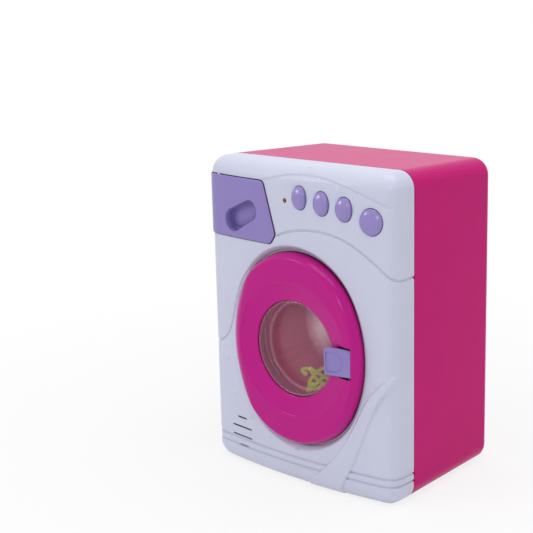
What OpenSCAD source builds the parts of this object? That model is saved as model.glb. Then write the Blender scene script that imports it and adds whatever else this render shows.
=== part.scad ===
// Toy washing machine with a round door, a turning drum, a detergent drawer and push buttons.
// The front is at -Y. Shapes are drawn with y = 0 at the front corners of the housing
// and placed() then sets them about the middle of the whole toy.

/* [Housing] */
// Width of the housing
body_w = 183.3; // [170:0.1:200]
// Height of the housing
body_h = 250; // [240:1:270]
// Depth of the housing behind its front corners
body_d = 129.3; // [125:0.1:150]
// How far the middle of the front bows forward of its corners
bow = 8; // [6:0.5:10]
// Radius of the housing's corners seen from the front
corner_r = 12.8; // [10:0.1:16]
// Radius of the front's rounded edge
edge_r = 12; // [9:0.5:13]
// Depth of the white front shell behind the front corners
shell_d = 22.9; // [20:0.1:28]
// How much the cabinet narrows at each side and at the top towards its back
draft = 4.5; // [2:0.1:6]
// Rounding of the cabinet's back edge
back_r = 5; // [3:0.5:7]
// Wall of the housing
wall = 2.2; // [1.8:0.1:2.6]
// Width of a moulded groove
groove_w = 1.3; // [1:0.1:1.8]
// Depth of a moulded groove
groove_d = 0.8; // [0.5:0.1:1.1]
// Height of the raised ribbon and bubbles above the front
ribbon_h = 1.3; // [0.8:0.1:1.8]

/* [Door] */
// Middle of the door, to the right of the housing's middle
door_x = 4; // [0:0.5:8]
// Height of the middle of the door
door_z = 112; // [106:0.5:116]
// Half width of the door ring
door_a = 64.8; // [62:0.1:68]
// Half height of the door ring
door_b = 75.3; // [73:0.1:79]
// Radius of the ring's top and bottom arcs
door_tip_r = 60; // [56:1:61]
// Place of the ring's flat front, ahead of the front corners
door_front = 13.5; // [12:0.5:16]
// Place of the recess floor behind the door, ahead of the front corners
seat_front = 3; // [2:0.1:3.6]
// Radius of the ring's rounded edge
rim_r = 12; // [11:0.5:14]
// Wall of the ring
ring_wall = 2.2; // [1.8:0.1:2.8]
// Radius at which the ring starts to slope towards the window
dish_r = 52; // [50:0.5:54]
// How deep the slope falls
dish_d = 4; // [3:0.5:5]
// Radius of the window hole
window_r = 37.3; // [34:0.1:39]
// Depth of the clear bowl behind its flange
bowl_d = 10.5; // [8:0.5:12]
// Wall of the clear bowl
bowl_wall = 1.8; // [1.2:0.1:2.2]
// Radius of the loading mouth in the front shell
mouth_r = 47; // [46.5:0.1:49]
// Furthest that the door opens, in degrees
door_open = 100; // [60:5:110]

/* [Latch] */
// Width of the latch
latch_w = 25; // [23:0.5:27]
// Height of the latch
latch_h = 23.5; // [21:0.5:26]
// Height of the middle of the latch
latch_z = 109.5; // [107:0.5:113]
// Right edge of the latch
latch_right = 60.5; // [59:0.5:62]

/* [Drum] */
// Outer radius of the drum
drum_r = 51; // [50:0.5:54]
// Clearance between the motor and the back wall
motor_room = 3.6; // [2:0.1:10]
// Wall of the drum
drum_wall = 1.8; // [1.4:0.1:2.4]
// Inner radius of the drum's mouth
drum_mouth_r = 44.5; // [42:0.5:46]
// Height of the lifting ribs inside the drum
rib_h = 9; // [6:0.5:11]
// Module of the gear teeth
gear_m = 0.8; // [0.8:0.01:0.84]
// Radius of the drum shaft
shaft_r = 3; // [2.5:0.1:3.4]

/* [Drawer and buttons] */
// Width of the drawer front at its top
drawer_top_w = 65; // [60:0.5:67]
// Width of the drawer front at its widest
drawer_w = 77.3; // [74:0.1:79]
// Height of the drawer front
drawer_h = 49.2; // [46:0.1:52]
// Distance from the top of the housing to the drawer front
drawer_drop = 12; // [10:0.5:14]
// Depth of the drawer tray behind the front corners
tray_d = 60; // [45:1:66]
// How far the drawer slides out
drawer_travel = 42; // [25:1:50]
// Half width of a small button
button_a = 7.2; // [6.5:0.1:7.6]
// Half height of a small button
button_b = 9.8; // [9:0.1:10.4]
// Half size of the large button
big_button_a = 10; // [9:0.1:10.6]
// How far the buttons stand out of the front
button_out = 2.6; // [2.2:0.1:3.4]
// How far a button is pressed
button_travel = 1.5; // [0.8:0.1:1.8]

/* [Batteries] */
// Radius of a battery cell
cell_r = 7.1; // [6.9:0.05:7.2]
// Length of a battery cell without its nub
cell_l = 49.5; // [48:0.5:50.5]
// Spacing of the battery cells
cell_pitch = 15; // [14.8:0.1:16]
// Height of the battery cells' lower ends
cell_z = 28.8; // [28:0.1:36]

/* [Hidden] */
$fn = 96;
eps = 0.01;
gap = 0.3;
run = 0.05;
fine = 720;
// The crossing forms are kept this much off each other's faces
nick = 0.02;

half_w = body_w / 2;
bow_r = half_w * half_w / (2 * bow) + bow / 2;
bow_y = bow_r - bow;
latch_front = door_front + 3;
mid_y = (body_d - latch_front) / 2;
rear_in = body_d - wall;

function front_y(x) = bow_y - sqrt(bow_r * bow_r - x * x);

module placed() { translate([0, -mid_y, 0]) children(); }
// A flat shape drawn in x and z, from y0 back to y1
module slab(y0, y1) { translate([0, y1, 0]) rotate([90, 0, 0]) linear_extrude(y1 - y0) children(); }
module rod(x, z, y0, y1, r) { slab(y0, y1) translate([x, z]) circle(r); }
module pipe(x, z, y0, y1, r, bore) { slab(y0, y1) translate([x, z]) difference() { circle(r); circle(bore); } }
// A profile drawn as radius and y, turned about an axis along y
module turned(x, z) { translate([x, 0, z]) rotate([-90, 0, 0]) rotate_extrude() children(); }
module box2(x0, x1, z0, z1) { translate([x0, z0]) square([x1 - x0, z1 - z0]); }
module upright(x, y, z0, z1, r) { translate([x, y, z0]) cylinder(h = z1 - z0, r = r); }

module rounded(x0, x1, z0, z1, r) {
    box2(x0 + r, x1 - r, z0, z1);
    box2(x0, x1, z0 + r, z1 - r);
    for (x = [x0 + r, x1 - r], z = [z0 + r, z1 - r]) translate([x, z]) circle(r);
}

// An oval of four arcs: half width a, half height b, radius t at its top and bottom. The side arcs
// are a hair tighter than the tangent ones, so that they cross the others at a clear point.
tighter = 0.004;
function side_r(a, b, t) = let (s = (a * a + (b - t) * (b - t) - t * t) / (2 * (a - t))) s - (s - t) * tighter;
module oval(a, b, t) {
    s = side_r(a, b, t);
    k = s / (s - t);
    for (m = [-1, 1]) translate([0, m * (b - t)]) circle(t);
    intersection() {
        translate([a - s, 0]) circle(s);
        translate([s - a, 0]) circle(s);
        box2(-a, a, -(b - t) * k, (b - t) * k);
    }
}

// Points given as shares of the front's half width and height
function on_face(p) = [for (q = p) [q[0] * half_w, q[1] * body_h]];
// A smooth open curve through hand-set points, as a band of the given width
function between(a, b, c, d, t) = 0.5 * (2 * b + (c - a) * t + (2 * a - 5 * b + 4 * c - d) * t * t
    + (3 * b - a - 3 * c + d) * t * t * t);
function curve(p, n) = concat([for (i = [0:len(p) - 2], j = [0:n - 1])
    between(p[max(i - 1, 0)], p[i], p[i + 1], p[min(i + 2, len(p) - 1)], j / n)], [p[len(p) - 1]]);
function beside(c, w) = [for (i = [0:len(c) - 1])
    let (d = c[min(i + 1, len(c) - 1)] - c[max(i - 1, 0)]) c[i] + [-d[1], d[0]] * w / norm(d)];
function back_to_front(c) = [for (i = [len(c) - 1:-1:0]) c[i]];
module band(p, w) {
    c = curve(p, 3);
    polygon(concat(beside(c, w / 2), back_to_front(beside(c, -w / 2))));
}

// The bowed front with its rounded edges, grown by g on every side but the floor
module front_form(g = 0, back = shell_d) {
    floor_z = max(-g, 0);
    er = edge_r + g;
    deep = back + bow + 30;
    y_c = bow_y - sqrt(pow(bow_r - edge_r, 2) - pow(half_w - edge_r, 2));
    x_t = (half_w - edge_r) * (bow_r + g) / (bow_r - edge_r);
    turn = 15;
    intersection() {
        slab(-bow - 10, back) rounded(-half_w - g - nick, half_w + g + nick, floor_z - nick,
            body_h + g + nick, corner_r + g);
        translate([0, 0, -5]) linear_extrude(body_h + 20) {
            box2(-x_t, x_t, -bow - 12, back + 1);
            box2(-half_w - g, half_w + g, y_c, back + 1);
            for (m = [-1, 1]) translate([m * (half_w - edge_r), y_c - 0.03]) circle(er);
        }
        translate([0, bow_y, 0]) rotate([0, 0, -90 - turn]) rotate_extrude(angle = 2 * turn, $fn = fine) {
            box2(bow_r - deep, bow_r + g, floor_z + er, body_h + g - er);
            box2(bow_r - deep, bow_r + g - er, floor_z, body_h + g);
            for (z = [floor_z + er, body_h + g - er]) translate([bow_r + g - er, z]) circle(er, $fn = 64);
        }
    }
}

// Door ring

door_floor = -seat_front - gap;
ring_edge_top = atan2((door_b - door_tip_r), side_r(door_a, door_b, door_tip_r) - door_a);

module door_oval(g) { translate([door_x, door_z]) oval(door_a + g, door_b + g, door_tip_r + g); }

// Sweeps a profile along the door's oval: x is the distance outside the oval, y the height ahead of y = 0
module around_door() {
    flank = side_r(door_a, door_b, door_tip_r);
    a = ring_edge_top;
    for (s = [[0, door_b - door_tip_r, door_tip_r, a, 180 - 2 * a],
            [0, door_tip_r - door_b, door_tip_r, 180 + a, 180 - 2 * a],
            [door_a - flank, 0, flank, -a, 2 * a], [flank - door_a, 0, flank, 180 - a, 2 * a]])
        translate([door_x + s[0], 0, door_z + s[1]]) rotate([90, 0, 0]) rotate([0, 0, s[3]])
            rotate_extrude(angle = s[4], $fn = 144) translate([s[2], 0]) children();
}

// The hinge stands inside the ring's left edge, its pin in two arms on the recess floor. The ring's
// edge swings through a slot in that floor.
hinge_in = 6.8;
hinge_x = door_x - door_a + hinge_in;
hinge_y = -6.4;
hinge_pin_r = 1.25;
barrel_r = 2.3;
barrel_half = 7;
arm_h = 4;
arm_r = 2.2;
arm_reach = 9.4;
slot_right = hinge_x + 5.2;
slot_half = 30;
pin_half = barrel_half + gap + arm_h;
arm_at = [door_z - pin_half, door_z + barrel_half + gap];

latch_left = latch_right - latch_w;
latch_lo = latch_z - latch_h / 2;
latch_hi = latch_z + latch_h / 2;
latch_clear = 0.8;
latch_pin_x = latch_right - 3.8;
latch_pin_y = -8.6;
latch_pin_r = 1;
latch_eye_r = 3.1;
ear_wall = 2;
latch_slot_x = door_x + 41.5;
hook_x = latch_right - 0.5;
hook_w = 2;
hook_bite = 0.9;
hook_slot = [hook_x - hook_w - 0.6, hook_x + 4.2];
hook_lo = latch_lo + 2.5;
hook_hi = latch_hi - 2.5;

tube_end = -seat_front - 1.2;
flange_t = 1.4;
flange_r = window_r + 3.2;
retainer_r = mouth_r - 1;
retainer_in = window_r + 1.5;
retainer_t = 1.8;
boss_ring_r = (flange_r + retainer_r) / 2 + 0.1;
retainer_boss_r = 2.4;
boss_turns = [45, 135, 225, 315];
flange_back = tube_end + 0.1 + flange_t;

module door_ring() {
    placed() color("deeppink") difference() {
        union() {
            around_door() intersection() {
                translate([-rim_r, door_front - rim_r - nick]) difference() {
                    circle(rim_r, $fn = 64);
                    circle(rim_r - ring_wall, $fn = 64);
                }
                translate([-rim_r, -door_floor]) square([rim_r + 1, door_front]);
            }
            slab(-door_front, -door_front + ring_wall) difference() {
                door_oval(0.5 - rim_r);
                translate([door_x, door_z]) circle(dish_r + 1);
            }
            turned(door_x, door_z) polygon([[window_r, -door_front + dish_d], [dish_r, -door_front],
                [dish_r + 5, -door_front], [dish_r + 5, -door_front + ring_wall],
                [dish_r + 0.4, -door_front + ring_wall],
                [window_r + 2.2, -door_front + dish_d + ring_wall + 0.3],
                [window_r + 2.2, tube_end], [window_r, tube_end]]);
            for (a = boss_turns) rod(door_x + boss_ring_r * cos(a), door_z + boss_ring_r * sin(a),
                -door_front + ring_wall + 0.5, flange_back, retainer_boss_r);
            for (z = [latch_lo - latch_clear - ear_wall, latch_hi + latch_clear])
                translate([latch_pin_x - 3.5, -door_front + 1, z]) cube([7, door_front - 5.2, ear_wall]);
            upright(hinge_x, hinge_y, door_z - barrel_half, door_z + barrel_half, barrel_r);
            translate([hinge_x - 1, -door_front + 2.5, door_z - barrel_half + nick])
                cube([2, door_front - 2.5 + hinge_y, 2 * (barrel_half - nick)]);
        }
        for (z = arm_at) upright(hinge_x, hinge_y, z - gap / 2, z + arm_h + gap, arm_r + 0.5);
        for (a = boss_turns) rod(door_x + boss_ring_r * cos(a), door_z + boss_ring_r * sin(a),
            -door_front + ring_wall + 2.5, 0, 1.05);
        slab(-door_front - 5, 0) box2(latch_slot_x, latch_right + latch_clear + 0.6,
            latch_lo - latch_clear, latch_hi + latch_clear);
        upright(latch_pin_x, latch_pin_y, latch_lo - latch_clear - ear_wall - 1,
            latch_hi + latch_clear + ear_wall + 1, latch_pin_r + 0.02);
        upright(hinge_x, hinge_y, door_z - barrel_half - 1, door_z + barrel_half + 1, hinge_pin_r + run);
    }
}

module door_window() {
    lip = -seat_front - 1.2 + 0.1;
    r0 = window_r - 0.2;
    deep = lip + bowl_d;
    round_r = 5;
    placed() color([0.85, 0.8, 0.9, 0.35]) turned(door_x, door_z) difference() {
        union() {
            translate([0, lip]) square([flange_r, flange_t]);
            translate([0, lip]) square([r0, bowl_d - round_r]);
            translate([0, lip]) square([r0 - round_r, bowl_d]);
            translate([r0 - round_r, deep - round_r]) circle(round_r);
        }
        translate([-1, lip - 1]) square([r0 - bowl_wall + 1, bowl_d - round_r + 1]);
        translate([-1, lip - 1]) square([r0 - round_r + 1, bowl_d - bowl_wall + 1]);
        translate([r0 - round_r, deep - round_r]) circle(round_r - bowl_wall);
        translate([-40, lip - 30]) square([40, 80]);
    }
}

module window_retainer() {
    placed() color("hotpink") slab(flange_back + 0.1, flange_back + 0.1 + retainer_t)
        translate([door_x, door_z]) difference() {
            circle(retainer_r);
            circle(retainer_in);
            for (a = boss_turns) translate([boss_ring_r * cos(a), boss_ring_r * sin(a)]) circle(1.2);
        }
}

// A countersunk-free pan-head screw along y, its head at y0 and its tip at y1 (heads face y0)
module screw(x, z, y0, y1, r, head_r, head_h) {
    d = y1 > y0 ? 1 : -1;
    y_h = y0 + d * head_h;
    rod(x, z, min(y0, y_h), max(y0, y_h), head_r);
    rod(x, z, min(y_h, y1) - (d > 0 ? eps : 0), max(y_h, y1) + (d > 0 ? 0 : eps), r);
}

module retainer_screws() {
    seat = flange_back + 0.1 + retainer_t;
    placed() color("silver") for (a = boss_turns) screw(door_x + boss_ring_r * cos(a),
        door_z + boss_ring_r * sin(a), seat + 1.2, seat - 6, 1, 1.9, 1.1);
}

module hinge_pin() {
    placed() color("silver") upright(hinge_x, hinge_y, door_z - pin_half + 0.5, door_z + pin_half - 0.5,
        hinge_pin_r);
}

module latch_pin() {
    placed() color("silver") upright(latch_pin_x, latch_pin_y, latch_lo - latch_clear - ear_wall + 0.3,
        latch_hi + latch_clear + ear_wall - 0.3, latch_pin_r);
}

// Door latch: a pad with a thumb hollow, two eyes on the pin and a hook behind

module thumb_hollow() {
    translate([latch_left + 10.9, latch_z]) circle(8.5);
    box2(latch_left + 2.5, latch_left + 10.9, latch_z - 8.5, latch_z + 8.5);
}

module pad_outline(g) {
    r = 3.2 + g;
    x0 = latch_left - g;
    box2(x0 + r, latch_right + g, latch_lo - g, latch_hi + g);
    box2(x0, x0 + r, latch_lo - g + r, latch_hi + g - r);
    for (z = [latch_lo - g + r, latch_hi + g - r]) translate([x0 + r, z]) circle(r);
}

module door_latch() {
    pad_t = 3.4;
    placed() color("mediumpurple") difference() {
        union() {
            slab(-latch_front, -latch_front + 1) pad_outline(-0.9);
            slab(-latch_front + 0.45, -latch_front + pad_t) pad_outline(-0.45);
            slab(-latch_front + 0.9, -latch_front + pad_t) pad_outline(0);
            for (z = [latch_lo, latch_hi - 4.5]) {
                upright(latch_pin_x, latch_pin_y, z, z + 4.5, latch_eye_r);
                translate([latch_pin_x - latch_eye_r, -latch_front + pad_t - 0.5, z])
                    cube([2 * latch_eye_r, latch_front - pad_t + latch_pin_y + 0.5, 4.5]);
            }
            slab(latch_pin_y + 1.2, seat_front - 1.2) box2(hook_x - hook_w, hook_x, hook_lo, hook_hi);
            slab(latch_pin_y + 1.2, latch_pin_y + latch_eye_r) box2(latch_pin_x, hook_x, latch_lo, latch_hi);
            slab(-seat_front + wall + gap, seat_front - 1.2)
                box2(hook_slot[0] - hook_bite, hook_x, hook_lo, hook_hi);
        }
        slab(-latch_front - 1, -latch_front + 0.9) thumb_hollow();
        slab(-latch_front + pad_t, latch_pin_y + 3)
            box2(latch_pin_x - 2.9, latch_pin_x + 2.6, latch_lo + 4.5, latch_hi - 4.5);
        upright(latch_pin_x, latch_pin_y, latch_lo - 1, latch_hi + 1, latch_pin_r + run);
    }
}

// A helical spring along z as one tube, with eight rings a turn and six sides
module spring(turns, coil_r, wire_r, length) {
    steps = 8;
    sides = 6;
    count = turns * steps;
    rise = length - 2 * wire_r;
    pts = [for (i = [0:count], j = [0:sides - 1]) let (a = i * 360 / steps, b = j * 360 / sides,
        r = coil_r + wire_r * cos(b)) [r * cos(a), r * sin(a), wire_r + rise * i / count + wire_r * sin(b)]];
    polyhedron(pts, concat(
        [[for (j = [sides - 1:-1:0]) j]],
        [for (i = [0:count - 1], j = [0:sides - 1]) let (k = (j + 1) % sides)
            [i * sides + j, (i + 1) * sides + k, (i + 1) * sides + j]],
        [for (i = [0:count - 1], j = [0:sides - 1]) let (k = (j + 1) % sides)
            [i * sides + j, i * sides + k, (i + 1) * sides + k]],
        [[for (j = [0:sides - 1]) count * sides + j]]));
}

module latch_spring() {
    placed() color("lightgrey") translate([latch_pin_x, latch_pin_y, latch_lo + 5])
        spring(5, latch_pin_r + 0.3 + 0.45, 0.4, latch_h - 10);
}

// Front shell

drawer_right = -half_w + drawer_w;
drawer_top = body_h - drawer_drop;
drawer_low = drawer_top - drawer_h;
drawer_wrap = edge_r;
// Corners of the drawer front, from its top right downwards
drawer_corner = [-half_w + drawer_top_w, drawer_top];
drawer_tip = [drawer_right, drawer_low + 7.5];

// The slanted outline of the drawer front, grown by g
module drawer_outline(g) {
    r = 4;
    slope = atan2(drawer_tip[1] - drawer_corner[1], drawer_tip[0] - drawer_corner[0]);
    offset(delta = g) offset(r = r, $fn = 32) offset(delta = -r) polygon([[-half_w - drawer_wrap, drawer_top],
        drawer_corner, drawer_tip, [drawer_tip[0] - 5.5, drawer_low], [-half_w - drawer_wrap, drawer_low]]);
}

button_in = [80.05, 59.75, 39.85, 16.95];
button_drop = [22.7, 24.7, 27.2, 34.5];
button_at = [for (i = [0:3]) [half_w - button_in[i], body_h - button_drop[i]]];
light_in = 95.85;
light_at = [half_w - light_in, body_h - 26.1];
light_r = 1.5;
function is_big(i) = i == 3;
module button_oval(i, g) {
    translate(button_at[i]) if (is_big(i)) oval(big_button_a + g, big_button_a + 0.5 + g, big_button_a - 1 + g);
    else oval(button_a + g, button_b + g, button_a - 1 + g);
}

speaker_r = 17.5;
speaker_x = -half_w + speaker_r + 16.25;
speaker_z = speaker_r + 10.9;
vent_w = 1.5;
speaker_y = 0.8;
board_y = 14;
board_t = 1.6;
board_screw_l = 5;
board_left = light_at[0] - 8.3;
board_right = half_w - 6.5;
board_low = button_at[3][1] - 10.5;
board_high = button_at[0][1] + 14.2;
board_bosses = [[board_left + 4.5, board_low + 7], [button_at[0][0] + 10.4, board_low + 4],
    [button_at[2][0] + 11.9, board_high - 4.7]];
case_in = 12;
case_screw_l = 12;
case_screw_at = [[-half_w + case_in, case_in + 1.2], [half_w - case_in, case_in + 1.2],
    [-half_w + case_in + 0.5, drawer_low - 7.6], [half_w - case_in - 3, board_low - 9],
    [drawer_corner[0] + 7.35, drawer_top + drawer_drop - 14.5]];
case_boss_r = 4.3;
case_seat = shell_d + 9;

upper_groove = on_face([[-0.3382, 0.9432], [-0.024, 0.9716], [0.2935, 0.9748], [0.5619, 0.9572],
    [0.8238, 0.9292], [0.9798, 0.9076], [1.0475, 0.902]]);
lower_groove = on_face([[-0.1964, 0.7784], [0.0131, 0.804], [0.1877, 0.8136], [0.3819, 0.812],
    [0.5881, 0.7916], [0.8205, 0.7456], [0.9602, 0.7072], [1.0584, 0.686]]);
left_groove = on_face([[-0.4419, 0.676], [-0.5619, 0.626], [-0.6438, 0.564], [-0.7223, 0.4768],
    [-0.7943, 0.428], [-0.91, 0.3992], [-1.0584, 0.39]]);
foot_grooves = [22.2, 16.3];
ribbon_upper = on_face([[1.0693, 0.4184], [0.9656, 0.4108], [0.8478, 0.376], [0.7267, 0.3168],
    [0.623, 0.2372], [0.4746, 0.1464], [0.3295, 0.086], [0.1779, 0.032], [0.0873, -0.004]]);
ribbon_lower = on_face([[0.4692, -0.004], [0.5281, 0.0524], [0.6274, 0.1216], [0.731, 0.2164],
    [0.8249, 0.3004], [0.8773, 0.3344], [0.9427, 0.364], [1.0693, 0.3952]]);
bubble_at = on_face([[-0.8096, 0.3516], [-0.7201, 0.2412], [-0.5161, 0.1784], [0.0382, 0.1116]]);
bubble_r = [3.6, 4.2, 3.4, 3.2];
// Sound slits over the speaker: height above its middle and half length
vents = [[11.8, 5.3], [3.8, 11.2], [-3.9, 11.3], [-11.7, 5.4]];

module ribbon() { polygon(concat(curve(ribbon_upper, 3), curve(ribbon_lower, 3))); }

// Seen from above, from the pin back to the floor
module hinge_arm() {
    foot = -seat_front - hinge_y + 1;
    inner = slot_right - hinge_x + 0.4;
    polygon([[0, 0.2 - arm_r], [arm_reach - 5.4, -1.8], [arm_reach, 1.8], [arm_reach, foot], [inner, foot],
        [inner, arm_r + 0.1], [0, arm_r - 0.2]]);
}

module front_panel() {
    placed() color("white") difference() {
        union() {
            difference() {
                union() {
                    difference() {
                        front_form(0);
                        slab(-bow - 5, shell_d + 1) {
                            difference() {
                                union() {
                                    band(upper_groove, groove_w * 0.8);
                                    band(lower_groove, groove_w);
                                    band(left_groove, groove_w);
                                    for (z = foot_grooves) translate([0, z])
                                        box2(-half_w - 5, half_w + 5, -groove_w / 2, groove_w / 2);
                                }
                                drawer_outline(2);
                            }
                        }
                    }
                    front_form(-groove_d);
                    intersection() {
                        translate([0, -ribbon_h, 0]) front_form(-nick);
                        slab(-bow - 5, shell_d / 2) ribbon();
                    }
                    intersection() {
                        front_form(ribbon_h / 2);
                        for (i = [0:3]) rod(bubble_at[i][0], bubble_at[i][1], -bow - 5, 0, bubble_r[i]);
                    }
                }
                difference() {
                    front_form(-wall, shell_d + 1);
                    slab(-bow - 5, -seat_front + wall) door_oval(4.5);
                    pipe(door_x, door_z, -bow, drum_front - 1.5, mouth_r + wall, mouth_r);
                    for (p = case_screw_at) rod(p[0], p[1], -bow, shell_d, case_boss_r);
                    for (p = board_bosses) rod(p[0], p[1], -bow, board_y - 0.05, 2.6);
                    pipe(speaker_x, speaker_z, -bow, speaker_y + 2.5, speaker_r + gap + 1.4, speaker_r + gap);
                    pipe(speaker_x, speaker_z, -bow, speaker_y - 0.1, speaker_r + gap + 0.5, speaker_r - 2);
                }
            }
            for (z = arm_at) {
                upright(hinge_x, hinge_y, z, z + arm_h, arm_r);
                translate([hinge_x, hinge_y, z + nick]) linear_extrude(arm_h - 2 * nick) hinge_arm();
            }
        }
        // Recess of the door, with a bevelled edge
        slab(-bow - 8, -seat_front) door_oval(1.1);
        around_door() polygon([[0.2, seat_front + 0.4], [1.2, seat_front + 1.2], [8.2, bow + 1.5],
            [0.2, bow + 1.5]]);
        rod(door_x, door_z, -bow - 1, shell_d, mouth_r);
        slab(-seat_front - 0.5, wall) intersection() {
            door_oval(0.6);
            box2(hinge_x - 2 * hinge_in, slot_right, door_z - slot_half, door_z + slot_half);
        }
        upright(hinge_x, hinge_y, door_z - pin_half - 1, door_z + pin_half + 1, hinge_pin_r + 0.02);
        slab(-bow, 2) box2(hook_slot[0], hook_slot[1], hook_lo - 1, hook_hi + 1);
        // Opening of the drawer, through the left corner too
        slab(-bow - 5, drawer_wrap + 0.5) drawer_outline(0.5);
        for (i = [0:3]) slab(-bow - 5, 5) button_oval(i, 0.35);
        rod(light_at[0], light_at[1], -bow - 5, 0, light_r + 0.15);
        for (v = vents) slab(-bow - 5, speaker_y - 0.3) translate([speaker_x, speaker_z + v[0]])
            rounded(-v[1], v[1], -vent_w / 2, vent_w / 2, vent_w / 2 - 0.01);
        for (p = board_bosses) rod(p[0], p[1], board_y - 7, board_y + 1, 1.05);
        for (p = case_screw_at) rod(p[0], p[1], 8, shell_d + 1, 1.55);
    }
}

// Cabinet

// A thin slice of the cabinet's outline at depth y, drawn in by i on every side
function inset_at(y) = draft * (y - shell_d) / (body_d - shell_d);
module slice(y, i, floor_i) {
    d = inset_at(y);
    slab(y, y + eps) rounded(-half_w + d + i, half_w - d - i, floor_i, body_h - d - i, corner_r - i * 0.6,
        $fn = 32);
}
module cabinet_form(i, y0, y1) {
    hull() {
        slice(y0, i, i);
        for (a = [0, 30, 60, 90]) slice(y1 - eps - (back_r - i * 0.9) * (1 - sin(a)),
            i + (back_r - i * 0.9) * (1 - cos(a)), i + (back_r - i * 0.9) * (1 - cos(a)));
    }
}

box_lo = cell_z - 16;
box_hi = cell_z + cell_l + 3.7;
box_half = cell_pitch * 1.5 + 2.5;
box_front = rear_in - 19;
cell_y = rear_in - 8.6;
cover_half = box_half - 1.4;
cover_screw_l = 8;
cover_lo = box_lo + 0.6;
cover_hi = box_hi - 0.6;

// The cabinet's outline at the shell, drawn in by i
module seam_outline(i) { rounded(-half_w + i, half_w - i, i, body_h - i, corner_r - i); }

module cabinet() {
    lip = wall + gap;
    lip_in = lip + 1.4;
    placed() color("mediumvioletred") difference() {
        union() {
            difference() {
                union() {
                    cabinet_form(0, shell_d + 0.8, body_d);
                    slab(shell_d, shell_d + 1) seam_outline(0.8);
                }
                cabinet_form(wall, shell_d - 1, rear_in);
            }
            slab(shell_d - 3, shell_d + 1) difference() {
                seam_outline(lip);
                seam_outline(lip_in);
            }
            difference() {
                slab(shell_d, shell_d + 2) difference() {
                    seam_outline(0.8);
                    seam_outline(lip_in);
                }
                slab(shell_d + 0.9, shell_d + 3) box2(-half_w, half_w, 0, body_h);
            }
            for (p = case_screw_at) rod(p[0], p[1], shell_d + gap, rear_in + 1, case_boss_r);
            for (p = pillar_at) rod(p[0], p[1], gear_back + 0.1, rear_in + 1, 4);
        }
        for (p = case_screw_at) {
            rod(p[0], p[1], shell_d - 1, body_d, 1.6);
            rod(p[0], p[1], case_seat, body_d + 1, 3.3);
        }
        for (p = pillar_at) rod(p[0], p[1], gear_back - 1, rear_in - 1, 1.3);
        slab(rear_in - 1, body_d + 1) box2(-cover_half - 0.4, cover_half + 0.4, cover_lo - 0.4, cover_hi + 0.4);
    }
}

module case_screws() {
    placed() color("silver") for (p = case_screw_at)
        screw(p[0], p[1], case_seat + 2, shell_d - case_screw_l, 1.5, 2.9, 2);
}

// Drum and its drive

drum_front = 11.5;
motor_l = 24.5;
motor_r = 10;
motor_flat = 7.5;
motor_fix = 6.5;
gearbox_d = 22;
gearbox_r = 5;
hub_l = 9.5;
hub_r = 8;
drum_back = rear_in - motor_room - motor_l - gearbox_d - hub_l;
gear_pa = 25;
pinion_n = 12;
idler_n = 36;
drum_n = 40;
// Places of the gear train: the drum, the idler and the motor
idler_turn = 60;
motor_turn = 150;
drum_at = [door_x, door_z];
idler_at = drum_at + gear_m * (drum_n + pinion_n) / 2 * [cos(idler_turn), sin(idler_turn)];
motor_at = idler_at + gear_m * (idler_n + pinion_n) / 2 * [cos(motor_turn), sin(motor_turn)];
gear_front = drum_back + hub_l;
gear_back = gear_front + gearbox_d;
gear_mid_x = door_x + 3.5;
gear_mid_z = door_z + 9;
gear_half_w = 29;
gear_half_h = 31;
pillar_in = 4.5;
pillar_at = [for (m = [-1, 1], n = [-1, 1]) [gear_mid_x + m * (gear_half_w - pillar_in + 0.5),
    gear_mid_z + n * (gear_half_h - pillar_in - 0.5)]];
pillar_screw_l = 12;
pinion_y = [gear_front + 2.4, gear_front + 12];
idler_y = [gear_front + 13, gear_front + 17];
axle_r = 1.5;

function inv_angle(rb, r) = r <= rb ? 0 : tan(acos(rb / r)) * 180 / PI - acos(rb / r);
function tooth_half(n, r) = let (p = gear_m * n / 2, rb = p * cos(gear_pa))
    90 / n - 0.07 / p * 180 / PI + inv_angle(rb, p) - inv_angle(rb, max(r, rb));
// Outline of a gear with n involute teeth, one of them pointing along x
module gear_outline(n) {
    p = gear_m * n / 2;
    radii = [p - 1.2 * gear_m, max(p * cos(gear_pa), p - 1.1 * gear_m), p, p + 0.5 * gear_m, p + 0.9 * gear_m];
    polygon([for (i = [0:n - 1], k = [0:2 * len(radii) - 1]) let (up = k < len(radii),
        r = radii[up ? k : 2 * len(radii) - 1 - k], a = i * 360 / n + (up ? -1 : 1) * tooth_half(n, r))
        r * [cos(a), sin(a)]]);
}
module gear(at, turn, n, y0, y1) { slab(y0, y1) translate(at) rotate(turn) gear_outline(n); }

module drum() {
    inner = drum_r - drum_wall;
    placed() color("palevioletred") difference() {
        union() {
            turned(door_x, door_z) polygon([[drum_mouth_r, drum_front], [drum_r - 1.5, drum_front],
                [drum_r, drum_front + 1.5], [drum_r, drum_back - 6], [drum_r - 6, drum_back],
                [hub_r, drum_back], [hub_r, gear_front - 2.3], [shaft_r + 0.03, gear_front - 2.3],
                [shaft_r + 0.03, drum_back - 0.6],
                [1.2, drum_back - 0.6], [1.2, drum_back - drum_wall], [drum_r - 6.7, drum_back - drum_wall],
                [inner, drum_back - 6.7], [inner, drum_front + 3], [drum_mouth_r + 1.5, drum_front + 1.8],
                [drum_mouth_r, drum_front + 1.8]]);
            for (a = [90, 210, 330]) slab(drum_front + 3, drum_back - 4) translate(drum_at) rotate(a)
                polygon([[inner + 0.3, -6], [inner - rib_h + 1.2, -1.8], [inner - rib_h, 0],
                    [inner - rib_h + 1.2, 1.8], [inner + 0.3, 6]]);
        }
    }
}

module drum_shaft() {
    placed() color("silver") difference() {
        rod(door_x, door_z, drum_back - 0.5, gear_back - 0.5, shaft_r);
        rod(door_x, door_z, drum_back - 1, drum_back + 7, 1.03);
    }
}

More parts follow.
